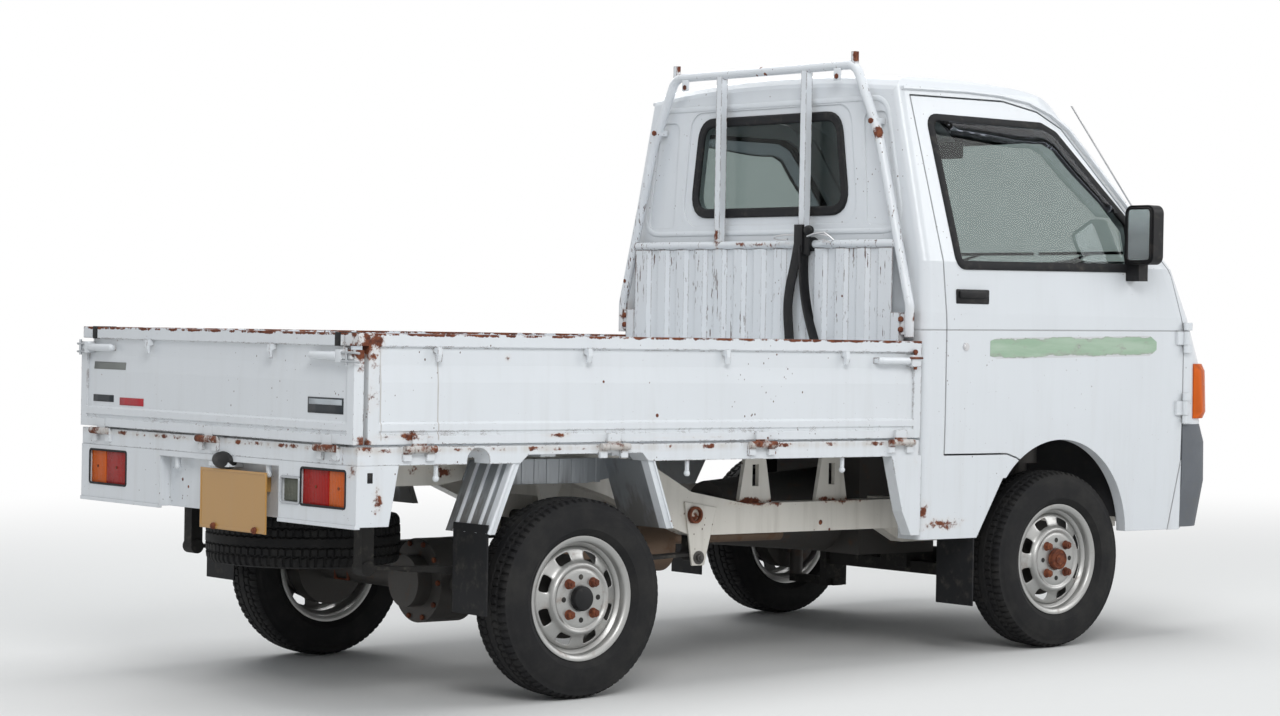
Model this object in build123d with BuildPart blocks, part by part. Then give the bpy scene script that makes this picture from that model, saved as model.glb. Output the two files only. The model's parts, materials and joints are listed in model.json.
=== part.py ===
"""A small Japanese cab-over truck with a drop-side bed, built as separate pieces.

Everything is drawn level in millimetres: x runs forward from just behind the rear axle, y to
the left, z up from the ground below the rear axle.  The truck stands a little nose down, so every
piece is turned by the rake and moved to the middle of the truck when it is written.
"""
import os
from math import cos, radians, sin, tan

from build123d import *

os.makedirs("parts", exist_ok=True)

# Stance
wheelbase = 1810
rear_axle_x = 12
rake_deg = 1.32
half_width = 697.5
tail_end = -749
nose_overhang = 738
drawn_front_axle_x = 1822
front_axle_x = rear_axle_x + wheelbase
ahead = front_axle_x - drawn_front_axle_x

# Wheels
tyre_radius = 266
tyre_width = 146
wheel_y = half_width - 90.5
rim_seat_radius = 152.4
rim_flange_radius = 166
rim_width = 112
sheet = 5
disc_face = 30
hub_face = 55
slot_inner = 102
slot_outer = 134
slot_length = 52
bore_radius = 28
running_fit = 0.05
seat_gap = 0.3

# Cab shell
cab_rear = 1222
cab_wall = 36
cab_bow = 55
cab_bottom = 385
door_gap = 5
arch_x = 1800
arch_z = 373
arch_radius = 296
pane = 5
pane_inset = 14
lamp_depth = 24
bumper_wall = 24
bumper_rear = 2343
bumper_bottom = 392
bumper_top = 711
roof_camber_radius = 5750

door_hinge_x = 2339.5
door_hinge_y = half_width + 11
DOOR_HINGES = (762, 980)

# Cab floor and what stands on it
footwell_z = 435
seat_deck_z = 690
floor_plate = 10
riser_x = 2140
floor_half_width = half_width - 42.5

# Bed
bed_rear = -700
bed_front = 1205 + ahead
bed_ledge = 40
bed_ledge_drop = 2
bed_tail = -727.5
bed_top = 690
bed_plate = 8
bed_half = half_width - 63.5
rail_bottom = 628
rail_top = 674
rib_width = 50
rib_depth = 42

# Drop sides
gate_bottom = 680
gate_top = 958
gate_skin = 30
gate_rail_width = 60
gate_rail_drop = 32
gate_front = bed_front + 5
gate_rear = -695
gate_rail_rear = -727
tail_face = -735
tail_half = half_width - 5.5
tail_rail_half = half_width - 65.5
tail_shoulder = gate_top - 42
hinge_z = 668
hinge_out = 12
knuckle_radius = 9.5
hinge_pin_radius = 4
hinge_gate_length = 44
hinge_rail_length = 24
hinge_play = 1

# Guard behind the cab
guard_x = bed_front - 10
guard_tube_radius = 14
guard_bar_z = 1240
guard_top_z = 1767

# Spare wheel, flat below the rear of the bed
spare_x = -392
spare_y = 60
spare_z = 395

# Chassis
rail_half_outer = half_width - 242.5
rail_half_inner = rail_half_outer - 55
front_rail_outer = 350
front_rail_inner = 300
axle_tube_radius = 38
kingpin_y = wheel_y - 102
drum_radius = 112

rear_axle_z = tyre_radius
front_axle_z = tyre_radius + front_axle_x * tan(radians(rake_deg))
middle_x = (tail_end + front_axle_x + nose_overhang) / 2 + 7
seat = (
    Location((-middle_x, 0, rear_axle_z))
    * Location((0, 0, 0), (0, rake_deg, 0))
    * Location((0, 0, -rear_axle_z))
)


def save(piece, name, shift=0):
    """Move a finished piece ahead, turn it by the rake, name it and write it."""
    placed = piece.moved(seat * Location((shift, 0, 0)))
    placed.label = name
    export_step(placed, f"parts/{name}.step")


def block(x0, x1, y0, y1, z0, z1, mode=Mode.ADD):
    """A box from its lowest and highest corners."""
    with Locations(((x0 + x1) / 2, (y0 + y1) / 2, (z0 + z1) / 2)):
        Box(x1 - x0, y1 - y0, z1 - z0, mode=mode)


def side_face(points, radius=0, grow=0):
    """A closed outline seen from the side, corners rounded, grown by an amount."""
    with BuildSketch(Plane.XZ) as face:
        with BuildLine():
            Polyline(*points, close=True)
        make_face()
        if radius:
            fillet(face.vertices(), radius)
        if grow:
            offset(amount=grow)
    return face.sketch


def front_face(points, radius=0, grow=0):
    """A closed outline seen from behind or in front, its points given as y and z."""
    with BuildSketch(Plane.YZ) as face:
        with BuildLine():
            Polyline(*points, close=True)
        make_face()
        if radius:
            fillet(face.vertices(), radius)
        if grow:
            offset(amount=grow)
    return face.sketch


def side_slab(points, y0, y1, radius=0, mode=Mode.ADD, grow=0):
    """A side outline that fills the width from y0 to y1."""
    face = side_face(points, radius, grow).moved(Location((0, y1, 0)))
    extrude(face, amount=y1 - y0, mode=mode)


def front_slab(points, x0, x1, radius=0, mode=Mode.ADD, grow=0):
    """A front outline that fills the length from x0 to x1."""
    face = front_face(points, radius, grow).moved(Location((x0, 0, 0)))
    extrude(face, amount=x1 - x0, mode=mode)


def hinge_at(x, y, z, turn):
    """A place on the hinge line, with the hinge line along its local x and outside along y."""
    return Location((x, y, z), (0, 0, turn))


def fixed_hinge_half():
    """Two knuckles, their leaf on the rail and the pin that joins them."""
    with BuildPart() as half:
        reach = hinge_gate_length / 2 + hinge_play
        for end in (-1, 1):
            middle = end * (reach + hinge_rail_length / 2)
            with Locations(Location((middle, 0, 0), (0, 90, 0))):
                Cylinder(knuckle_radius, hinge_rail_length)
            block(middle - hinge_rail_length / 2, middle + hinge_rail_length / 2,
                  -hinge_out - 0.5, -3, -30, 0)
        with Locations(Location((0, 0, 0), (0, 90, 0))):
            Cylinder(hinge_pin_radius, 2 * reach + 2)
    return half.part


def moving_hinge_half():
    """The middle knuckle and its leaf on the gate."""
    with BuildPart() as half:
        with Locations(Location((0, 0, 0), (0, 90, 0))):
            Cylinder(knuckle_radius, hinge_gate_length)
        reach = hinge_gate_length / 2
        block(-reach, reach, 1 - hinge_out, -3, 0, gate_bottom - hinge_z + 1)
        block(-reach, reach, -hinge_out - 0.5, -3, gate_bottom - hinge_z + 0.5, 36)
        with Locations(Location((0, 0, 0), (0, 90, 0))):
            Cylinder(hinge_pin_radius + running_fit, hinge_gate_length + 2, mode=Mode.SUBTRACT)
    return half.part


fixed_half = fixed_hinge_half()
moving_half = moving_hinge_half()


# The cab and all that goes with it is drawn for a front axle at drawn_front_axle_x and moved ahead
# with the axle.  Cab body: height, half width, nose x, corner radius
cab_half = half_width - 0.5
belt_half = half_width - 7.5
LOWER_CAB = (
    (385, belt_half, 2502, 120),
    (720, cab_half, 2536, 125),
    (900, cab_half, 2526, 125),
    (1040, cab_half, 2466, 120),
    (1190, belt_half, 2388, 110),
)
UPPER_CAB = (
    (1190, belt_half, 2388, 110),
    (1700, belt_half - 125.4, 1940, 110),
    (1721, belt_half - 142, 1921.5, 110),
    (1737, belt_half - 170, 1907.5, 110),
    (1748, belt_half - 206, 1897.8, 110),
    (1800, belt_half - 396, 1852, 110),
)
BUMPER = (
    (392, half_width - 13.5, 2536, 120),
    (535, cab_half, 2560, 125),
    (655, cab_half, 2558, 125),
    (711, half_width - 1.5, 2537, 125),
)
ROOF_BACK = ((1190, 1622), (1226, 1726), (1240, 1743), (1262, 1751.8))
ROOF_LINE = ((1480, 1758), (1740, 1744), (1875, 1706), (1985, 1632))
rear_corner = 25


def level_section(z, half, nose, corner, inset, lean, lining=False):
    """One level slice of the cab: straight sides, a bowed nose and round or cut corners."""
    y = half - inset
    front = nose - inset * lean
    rear = cab_rear + inset
    with BuildSketch(Plane.XY.offset(z)) as slice_face:
        with BuildLine():
            Line((rear, -y), (front - cab_bow, -y))
            ThreePointArc((front - cab_bow, -y), (front, 0), (front - cab_bow, y))
            Line((front - cab_bow, y), (rear, y))
            Line((rear, y), (rear, -y))
        make_face()
        if lining:
            chamfer(slice_face.vertices().group_by(Axis.X)[-1], corner - inset)
        else:
            fillet(slice_face.vertices().group_by(Axis.X)[-1], corner - inset)
            if inset < rear_corner:
                fillet(slice_face.vertices().group_by(Axis.X)[0], rear_corner - inset)
    return slice_face.sketch


def lower_form(inset, lining=False):
    """The cab below its windows, moved inwards by an amount."""
    with BuildPart() as low:
        for z, half, nose, corner in LOWER_CAB:
            add(level_section(z, half, nose, corner, inset, 1.02, lining))
        loft(ruled=True)
    return low.part


def upper_form(inset, lining=False):
    """The cab from its windows to above its roof, moved inwards by an amount."""
    with BuildPart() as high:
        for z, half, nose, corner in UPPER_CAB:
            add(level_section(z, half, nose, corner, inset, 1.32, lining))
        loft(ruled=True)
    return high.part


def cab_form(inset, lining=False):
    """The closed form of the cab, moved inwards by an amount on every side but the bottom."""
    with BuildPart() as under_roof:
        with BuildSketch(Plane.XZ):
            with BuildLine():
                rear, crown, brow, edge = ROOF_LINE
                back = [(x + inset, z - inset) for x, z in ROOF_BACK]
                Polyline((back[0][0] - 60, 300), (back[0][0] - 60, back[0][1]), *back)
                ThreePointArc(back[-1], (rear[0], rear[1] - inset), (crown[0], crown[1] - inset))
                ThreePointArc(
                    (crown[0], crown[1] - inset),
                    (brow[0] - inset * 0.4, brow[1] - inset * 0.9),
                    (edge[0] - inset * 0.7, edge[1] - inset * 0.75),
                )
                Line((edge[0] - inset * 0.7, edge[1] - inset * 0.75), (2300, 1400))
                Polyline((2300, 1400), (2700, 1400), (2700, 300), (back[0][0] - 60, 300))
            make_face()
        revolve(axis=Axis((0, 0, rear[1] - roof_camber_radius), (1, 0, 0)), revolution_arc=11)
        mirror(about=Plane.XZ)
    with BuildPart() as form:
        add(lower_form(inset, lining))
        add(upper_form(inset, lining))
        add(under_roof.part, mode=Mode.INTERSECT)
    return form.part


outer_form = cab_form(0)
inner_form = cab_form(cab_wall, True)
lining_form = cab_form(cab_wall + 0.4, True)

# Openings, as x and z or y and z
screen_low = half_width - 99.5
screen_high = half_width - 211.5
WINDSCREEN = [(-screen_low, 1212), (screen_low, 1212), (screen_high, 1588), (-screen_high, 1588)]
REAR_WINDOW = [(-352, 1340), (352, 1340), (312, 1622), (-312, 1622)]
DOOR_WINDOW = [
    (1362, 1180), (1330, 1611), (1797, 1609), (1853, 1586), (2116, 1325), (2112, 1189),
]
lamp_in = half_width - 302.5
lamp_out = half_width - 112.5
HEADLAMP = [(lamp_in, 744), (lamp_out, 744), (lamp_out, 878), (lamp_in, 878)]
GRILLE_SLOTS = (768, 796, 824, 852)
grille_half = lamp_in - 40
grille_depth = 8
# Pressed outlines on the rear wall, as y and z: round the window, and a tall panel on each side
WINDOW_PRESSING = [(-404, 1302), (404, 1302), (366, 1656), (-366, 1656)]
SIDE_PRESSING = [(446, 1296), (572, 1296), (520, 1628), (424, 1628)]
pressing_depth = 4


def door_face(grow=0):
    """The door seen from the side, with the front of the wheel arch cut from it."""
    with BuildSketch(Plane.XZ) as face:
        with BuildLine():
            Polyline(
                (1313, 632), (1313, 1000), (1268, 1672), (1650, 1675), (1790, 1651),
                (1885, 1605), (2288, 1171), (2337, 1004), (2337, 600), (2285, 386),
                (2090, 386), (1610, 620), (1568, 632), close=True,
            )
        make_face()
        with Locations((arch_x, arch_z)):
            Circle(arch_radius, mode=Mode.SUBTRACT)
        if grow:
            offset(amount=grow)
    return face.sketch


def door_hinge_at(side, z):
    """A place on the upright hinge line in the seam ahead of a door."""
    return Location((door_hinge_x, side * door_hinge_y, z), (0, -90, 0 if side > 0 else 180))


def outside_slab(face, side):
    """A side outline drawn out over one half of the cab."""
    with BuildPart() as slab:
        extrude(face.moved(Location((0, side * 900, 0))), amount=side * 900)
    return slab.part


def nose_slab(face):
    """A front outline drawn out over the nose."""
    with BuildPart() as slab:
        extrude(face.moved(Location((1900, 0, 0))), amount=800)
    return slab.part


with BuildPart() as wall:
    add(outer_form)
    add(inner_form, mode=Mode.SUBTRACT)

with BuildPart() as pane_layer:
    add(upper_form(pane_inset))
    add(upper_form(pane_inset + pane), mode=Mode.SUBTRACT)

with BuildPart() as lamp_layer:
    add(lower_form(1))
    add(lower_form(1 + lamp_depth), mode=Mode.SUBTRACT)

with BuildPart() as nose_skin:
    add(lower_form(-2))
    add(lower_form(grille_depth), mode=Mode.SUBTRACT)

with BuildPart() as grille_slots:
    for z in GRILLE_SLOTS:
        slot = [(-grille_half, z - 8), (grille_half, z - 8), (grille_half, z + 8), (-grille_half, z + 8)]
        add(nose_slab(front_face(slot)))
    add(nose_skin.part, mode=Mode.INTERSECT)

with BuildPart() as cab_shell:
    add(wall.part)
    add(grille_slots.part, mode=Mode.SUBTRACT)
    front_slab(WINDOW_PRESSING, cab_rear - 1, cab_rear + pressing_depth, 60, Mode.SUBTRACT)
    for side in (-1, 1):
        outline = [(side * y, z) for y, z in SIDE_PRESSING]
        front_slab(outline, cab_rear - 1, cab_rear + pressing_depth, 24, Mode.SUBTRACT)
    extrude(door_face(door_gap).moved(Location((0, 900, 0))), amount=1800, mode=Mode.SUBTRACT)
    for side in (-1, 1):
        with Locations((2568, side * (half_width - 45), 814)):
            Box(264 + 2 * seat_gap, 90 + 2 * seat_gap, 184 + 2 * seat_gap, mode=Mode.SUBTRACT)
        lamp = [(side * y, z) for y, z in HEADLAMP]
        add(nose_slab(front_face(lamp, 14, seat_gap)), mode=Mode.SUBTRACT)
    add(nose_slab(front_face(WINDSCREEN, 40)), mode=Mode.SUBTRACT)
    front_slab(REAR_WINDOW, cab_rear - 10, cab_rear + cab_wall + 10, 60, Mode.SUBTRACT)
    with Locations((arch_x, 0, arch_z)):
        Cylinder(arch_radius, 1500, rotation=(90, 0, 0), mode=Mode.SUBTRACT)
    side_slab([(1556, 558), (1445, 370), (arch_x, 370), (arch_x, 558)], -750, 750, 0, Mode.SUBTRACT)
    with BuildPart(mode=Mode.PRIVATE) as bumper_seat:
        block(bumper_rear - 1, 2700, -800, 800, bumper_bottom - 20, bumper_top + seat_gap)
        add(cab_form(bumper_wall + seat_gap), mode=Mode.SUBTRACT)
    add(bumper_seat.part, mode=Mode.SUBTRACT)
    tunnel_half = half_width - 97.5
    block(cab_rear - 5, cab_rear + cab_wall + 5, -tunnel_half, tunnel_half, cab_bottom - 5, 655, Mode.SUBTRACT)
    for side in (-1, 1):
        for z in DOOR_HINGES:
            add(door_hinge_at(side, z) * fixed_half)
save(cab_shell.part, "cab_shell", ahead)

with BuildPart() as bumper:
    for z, half, nose, corner in BUMPER:
        add(level_section(z, half, nose, corner, 0, 1))
    loft(ruled=True)
    block(1000, bumper_rear, -800, 800, 300, 800, Mode.SUBTRACT)
    add(cab_form(bumper_wall), mode=Mode.SUBTRACT)
save(bumper.part, "front_bumper", ahead)

with BuildPart() as cab_windows:
    add(pane_layer.part)
    add(nose_slab(front_face(WINDSCREEN, 40, -seat_gap)), mode=Mode.INTERSECT)
    glass_x = cab_rear + pane_inset
    front_slab(REAR_WINDOW, glass_x, glass_x + pane, 60, Mode.ADD, -seat_gap)
save(cab_windows.part, "cab_windows", ahead)

with BuildPart() as lamp_outlines:
    for side in (-1, 1):
        add(nose_slab(front_face([(side * y, z) for y, z in HEADLAMP], 14)))
        with Locations((2568, side * (half_width - 45), 814)):
            Box(264, 90, 184)

with BuildPart() as front_lamps:
    add(lamp_layer.part)
    add(lamp_outlines.part, mode=Mode.INTERSECT)
save(front_lamps.part, "front_lamps", ahead)

def door_pane(side):
    """The end view of a door's pane, which leans in with the cab's side."""
    (low_z, low_half, _, _), (high_z, high_half, _, _) = UPPER_CAB[:2]
    outline = []
    for z, depth in ((1160, 0), (1700, 0), (1700, pane), (1160, pane)):
        half = low_half + (high_half - low_half) * (z - low_z) / (high_z - low_z)
        outline.append((side * (half - pane_inset - depth), z))
    return outline


# Doors: the cab wall inside the door outline, with the window cut and a pane in its middle
for side, name in ((1, "left"), (-1, "right")):
    with BuildPart() as door:
        add(wall.part)
        add(outside_slab(door_face(), side), mode=Mode.INTERSECT)
        add(outside_slab(side_face(DOOR_WINDOW, 22), side), mode=Mode.SUBTRACT)
        for z in DOOR_HINGES:
            add(door_hinge_at(side, z) * moving_half)
    save(door.part, f"door_{name}", ahead)
    with BuildPart() as door_glass:
        front_slab(door_pane(side), 1200, 2300)
        add(outside_slab(side_face(DOOR_WINDOW, 22, -seat_gap), side), mode=Mode.INTERSECT)
    save(door_glass.part, f"door_glass_{name}", ahead)
    with BuildPart() as mirror_head:
        with Locations((2095, side * (half_width + 54.5), 1290)):
            Box(62, 116, 180)
        fillet(mirror_head.edges().filter_by(Axis.X), 26)
        chamfer(mirror_head.faces().sort_by(Axis.X)[-1].edges(), 18)
        with BuildSketch(Plane.XY.offset(1150)):
            with Locations((2095, side * (half_width + 14.5))):
                Rectangle(40, 64)
        extrude(amount=80)
        add(outer_form, mode=Mode.SUBTRACT)
    save(mirror_head.part, f"mirror_{name}", ahead)

# Cab inside
dash_inset = 43
with BuildPart() as cab_floor:
    profile = [
        (cab_rear + cab_wall, seat_deck_z), (riser_x, seat_deck_z),
        (riser_x, footwell_z), (2560, footwell_z), (2560, footwell_z - floor_plate),
        (riser_x - floor_plate, footwell_z - floor_plate),
        (riser_x - floor_plate, seat_deck_z - floor_plate),
        (cab_rear + cab_wall, seat_deck_z - floor_plate),
    ]
    side_slab(profile, -floor_half_width, floor_half_width)
    add(lining_form, mode=Mode.INTERSECT)
save(cab_floor.part, "cab_floor", ahead)

with BuildPart() as dashboard:
    profile = [
        (2190, 900), (2180, 985), (2215, 1060), (2290, 1100), (2420, 1100), (2520, 1000), (2520, 860),
        (2330, 860),
    ]
    side_slab(profile, -floor_half_width, floor_half_width, 18)
    add(lining_form, mode=Mode.INTERSECT)
    for side in (-1, 1):
        y0, y1 = sorted((side * (floor_half_width - dash_inset), side * (half_width + 20)))
        block(2100, door_hinge_x + 8, y0, y1, 800, 1200, Mode.SUBTRACT)
save(dashboard.part, "dashboard", ahead)

seat_half_width = 225
seat_y = 330
with BuildPart() as seats:
    for side in (-1, 1):
        y = side * seat_y
        cushion = [(1485, seat_deck_z + seat_gap), (1960, seat_deck_z + seat_gap), (1985, 800), (1490, 780)]
        side_slab(cushion, y - seat_half_width, y + seat_half_width, 12)
        back = [(1360, seat_deck_z + seat_gap), (1478, seat_deck_z + seat_gap), (1410, 1230), (1300, 1230)]
        side_slab(back, y - seat_half_width, y + seat_half_width, 12)
save(seats.part, "seats", ahead)

# Steering, on the right-hand side
steer_lean = 27
steer_x = 2060
steer_y = -335
steer_z = 1125
steer_ring = 182
steer_ring_tube = 12
column_radius = 22
hub_depth = 40
steer_plane = Plane(
    origin=(steer_x, steer_y, steer_z),
    x_dir=(0, 1, 0),
    z_dir=(-sin(radians(steer_lean)), 0, cos(radians(steer_lean))),
)
with BuildPart() as steering_wheel:
    across = (cos(radians(steer_lean)), 0, sin(radians(steer_lean)))
    with BuildSketch(Plane(origin=steer_plane.origin, x_dir=across, z_dir=(0, -1, 0))):
        with Locations((steer_ring, 0)):
            RegularPolygon(steer_ring_tube, 8, major_radius=False, rotation=22.5)
    revolve(axis=Axis(steer_plane.origin, steer_plane.z_dir))
    with BuildSketch(steer_plane.offset(-hub_depth)):
        Circle(38)
    extrude(amount=hub_depth)
    with BuildSketch(steer_plane.offset(-18)):
        with PolarLocations(steer_ring / 2, 3, 90):
            Rectangle(steer_ring, 26)
    extrude(amount=14)
save(steering_wheel.part, "steering_wheel", ahead)

with BuildPart() as steering_column:
    with BuildSketch(steer_plane.offset(-hub_depth - seat_gap)):
        Circle(column_radius)
    extrude(amount=-740)
    block(1900, 2700, -600, 0, 0, footwell_z + seat_gap, Mode.SUBTRACT)
    add(dashboard.part, mode=Mode.SUBTRACT)
save(steering_column.part, "steering_column", ahead)

# Bed floor with its cross ribs, side rails and fixed hinge halves
SIDE_HINGES = (-543, 82, 601, bed_front - 77)
TAIL_HINGES = (-half_width + 122.5, 0, half_width - 122.5)
rib_count = 8
first_rib = -560
rib_pitch_x = (bed_front - 95 - first_rib) / (rib_count - 1)
PEGS = (-477, 351, bed_front - 285)
peg_radius = 6
peg_length = 38
notch_x = -354
notch_radius = 36

side_hinge_y = half_width + hinge_out
tail_hinge_x = bed_tail - hinge_out

with BuildPart() as deck_floor:
    block(bed_rear, bed_front - bed_ledge, -bed_half, bed_half, bed_top - bed_plate, bed_top)
    block(bed_front - bed_ledge, bed_front, -bed_half, bed_half, bed_top - bed_plate, bed_top - bed_ledge_drop)
    for index in range(rib_count):
        x = first_rib + index * rib_pitch_x
        block(x - rib_width / 2, x + rib_width / 2, -bed_half, bed_half,
              bed_top - bed_plate - rib_depth, bed_top - bed_plate)
    rail = [
        (-725, rail_top), (bed_front, rail_top), (bed_front, rail_bottom), (205, rail_bottom),
        (185, 650), (-195, 650), (-220, rail_bottom), (-725, rail_bottom),
    ]
    for side in (-1, 1):
        inner, outer = sorted((side * (bed_half - 4), side * half_width))
        side_slab(rail, inner, outer)
        with Locations(Location((notch_x, side * half_width, rail_bottom + 6), (90, 0, 0))):
            Cylinder(notch_radius, 180, mode=Mode.SUBTRACT)
        for x in PEGS:
            with BuildSketch(Plane.XY.offset(rail_bottom + 1)):
                with Locations((x, side * (half_width - 14))):
                    RegularPolygon(peg_radius, 8)
            extrude(amount=-peg_length)
        web = sorted((side * (bed_half - 4), side * (bed_half + 2)))
        block(bed_rear, bed_front, web[0], web[1], rail_top - 2, bed_top - bed_ledge_drop)
        foot = bed_front + 11
        bracket = [
            (foot, 400), (foot, rail_bottom + 2), (foot - 116, rail_bottom + 2), (foot - 72, 470), (foot - 36, 400),
        ]
        side_slab(bracket, inner if side < 0 else outer - 40, inner + 40 if side < 0 else outer)
        for x in SIDE_HINGES:
            add(hinge_at(x, side * side_hinge_y, hinge_z, 0 if side > 0 else 180) * fixed_half)
    block(bed_rear, bed_rear + 8, -bed_half, bed_half, rail_top - 2, bed_top)
    for y in TAIL_HINGES:
        add(hinge_at(tail_hinge_x, y, hinge_z, 90) * fixed_half)
    block(bed_tail, bed_rear, -bed_half, bed_half, rail_bottom, rail_top)
save(deck_floor.part, "deck_floor")

# Outside of a drop side: distance in from the face, height
PRESSING = (
    (0, gate_bottom), (0, 703), (4, 706), (4, 711), (0, 714), (0, 731), (5, 737), (5, 835),
    (9, 879), (9, 923), (0, gate_top - gate_rail_drop), (0, gate_top),
)


def hook_outline(face):
    """A rope hook under the top rail, as distance out and height."""
    return [(face - 12, 926), (face + 12, 926), (face + 14, 906), (face + 9, 888), (face + 3, 888),
            (face + 4, 908), (face - 12, 914)]


with BuildPart() as side_gate:
    outline = [(half_width - inward, z) for inward, z in PRESSING]
    outline += [
        (half_width - gate_rail_width, gate_top),
        (half_width - gate_rail_width, gate_top - gate_rail_drop),
        (half_width - gate_skin, gate_top - gate_rail_drop),
        (half_width - gate_skin, gate_bottom),
    ]
    front_slab(outline, gate_rear, gate_front)
    block(gate_rail_rear, gate_rear + 1, half_width - gate_rail_width, half_width,
          gate_top - gate_rail_drop, gate_top)
    for x0, x1 in ((gate_rear, gate_rear + 33), (gate_front - 28, gate_front)):
        block(x0, x1, half_width - gate_skin, half_width, gate_bottom, gate_top - gate_rail_drop + 1)
    for x in (-488, -7, 470, gate_front - 299):
        front_slab(hook_outline(half_width), x - 7, x + 7)
    block(gate_front - 180, gate_front - 14, half_width - 10, half_width + 11, 893, 908)
    block(gate_front - 50, gate_front - 14, half_width - 10, half_width + 14, 884, 918)
    for x in SIDE_HINGES:
        add(hinge_at(x, side_hinge_y, hinge_z, 0) * moving_half)
left_gate = side_gate.part
save(left_gate, "side_gate_left")
with BuildPart() as other_gate:
    add(left_gate)
    mirror(about=Plane.XZ, mode=Mode.REPLACE)
save(other_gate.part, "side_gate_right")

with BuildPart() as tailgate:
    outline = [(tail_face + inward, z) for inward, z in PRESSING if z < 920]
    outline += [
        (tail_face + 9, tail_shoulder), (tail_face + gate_skin, tail_shoulder),
        (tail_face + gate_skin, gate_bottom),
    ]
    side_slab(outline, -tail_half, tail_half)
    block(tail_face + 9, tail_face + gate_skin, -tail_rail_half, tail_rail_half,
          tail_shoulder - 1, gate_top - gate_rail_drop + 1)
    block(tail_face, tail_face + gate_rail_width, -tail_rail_half, tail_rail_half,
          gate_top - gate_rail_drop, gate_top)
    for side in (-1, 1):
        y0, y1 = sorted((side * (tail_half - 32), side * tail_half))
        block(tail_face, tail_face + gate_skin, y0, y1, gate_bottom, tail_shoulder)
        y0, y1 = sorted((side * (tail_half - 177), side * (tail_half - 2)))
        block(tail_face - 10, tail_face + 10, y0, y1, 893, 907)
        hook = [(2 * tail_face - x, z) for x, z in hook_outline(tail_face)]
        side_slab(hook, side * 312 - 7, side * 312 + 7)
    for y in TAIL_HINGES:
        add(hinge_at(tail_hinge_x, y, hinge_z, 90) * moving_half)
save(tailgate.part, "tailgate")

# Guard frame behind the cab, its lower posts on the bed and the ribbed sheet between them
with BuildPart() as guard_frame:
    with BuildLine(Plane.YZ.offset(guard_x)) as hoop:
        foot_y = half_width - 37.5
        bend_y = half_width - 177.5
        top_y = half_width - 282.5
        bend_z = guard_top_z - 212
        bar_half = foot_y + (bend_y - foot_y) * (guard_bar_z - 1060) / (bend_z - 1060) - 6
        FilletPolyline(
            (foot_y, 968), (foot_y, 1060), (bend_y, bend_z), (top_y, guard_top_z),
            (-top_y, guard_top_z), (-bend_y, bend_z), (-foot_y, 1060), (-foot_y, 968),
            radius=50,
        )
    with BuildSketch(Plane(origin=hoop.line @ 0, z_dir=hoop.line % 0)):
        Circle(guard_tube_radius)
    sweep()
    with Locations(Location((guard_x, 0, guard_bar_z), (90, 0, 0))):
        Cylinder(12, 2 * bar_half)
    for y in (190, -200):
        block(guard_x - 12, guard_x + 12, y - 12, y + 12, guard_bar_z, guard_top_z)
    for side in (-1, 1):
        y0, y1 = sorted((side * (bed_half - 41.7), side * (bed_half - 4)))
        block(guard_x - 12, guard_x + 8, y0, y1, bed_top - bed_ledge_drop, 1040)
        y0, y1 = sorted((side * (bed_half - 14), side * (foot_y - 5)))
        block(guard_x - 8, guard_x + 8, y0, y1, 975, 1036)
        y0, y1 = sorted((side * (top_y - 13), side * (top_y + 3)))
        block(guard_x - 8, guard_x + 8, y0, y1, guard_top_z, guard_top_z + 38)
save(guard_frame.part, "guard_frame")

panel_half = bed_half - 42
rib_pitch = 92
rib_height = 11
panel_sheet = 3
with BuildPart() as guard_panel:
    count = int(2 * panel_half / rib_pitch)
    start = -count * rib_pitch / 2
    near = [(guard_x - 5, -panel_half)]
    for index in range(count):
        y = start + index * rib_pitch
        near += [(guard_x - 5, y + 18), (guard_x - 5 + rib_height, y + 30),
                 (guard_x - 5 + rib_height, y + 62), (guard_x - 5, y + 74)]
    near += [(guard_x - 5, panel_half)]
    far = [(x - panel_sheet, y) for x, y in reversed(near)]
    with BuildSketch(Plane.XY.offset(bed_top - bed_ledge_drop + seat_gap)):
        with BuildLine():
            Polyline(*near, *far, close=True)
        make_face()
    extrude(amount=guard_bar_z - 12 - bed_top + bed_ledge_drop - 2 * seat_gap)
save(guard_panel.part, "guard_panel")

# Rear valance with its lamps and the bare plate
valance = [(-727, 475), (-628, 475), (-600, 625), (-600, rail_bottom - seat_gap), (-727, rail_bottom - seat_gap)]
LAMP = (half_width - 252.5, half_width - 47.5, 519, 613)
REVERSE = (-438, -356, 524, 583)
RECESS = (-340, 262, 470, 612)
skin = 8
lamp_face = -703
lamp_back = -676
with BuildPart() as rear_valance:
    side_slab(valance, -half_width, half_width)
    block(-730, -714, -half_width, half_width, 470, 480)
    block(-727 + skin, -590, -half_width + skin, half_width - skin, 470, 630 - skin, Mode.SUBTRACT)
    block(-640, -590, -half_width + skin, half_width - skin, 470, 640, Mode.SUBTRACT)
    block(-727, -685, RECESS[0] - skin, RECESS[1] + skin, 475, RECESS[3] + skin)
    block(-730, -693, RECESS[0], RECESS[1], RECESS[2], RECESS[3], Mode.SUBTRACT)
    for side in (-1, 1):
        y0, y1 = sorted((side * LAMP[0], side * LAMP[1]))
        block(-725, lamp_back + skin, y0 - skin, y1 + skin, LAMP[2] - skin, LAMP[3] + skin)
        block(-730, lamp_back, y0, y1, LAMP[2], LAMP[3], Mode.SUBTRACT)
    block(-725, lamp_back + skin, REVERSE[0], REVERSE[1], REVERSE[2] - skin, REVERSE[3] + skin)
    block(-730, lamp_back, REVERSE[0] + 1, REVERSE[1] - 1, REVERSE[2], REVERSE[3], Mode.SUBTRACT)
    block(-738, -690, -112, -12, 598, 610)
save(rear_valance.part, "rear_valance")

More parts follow.
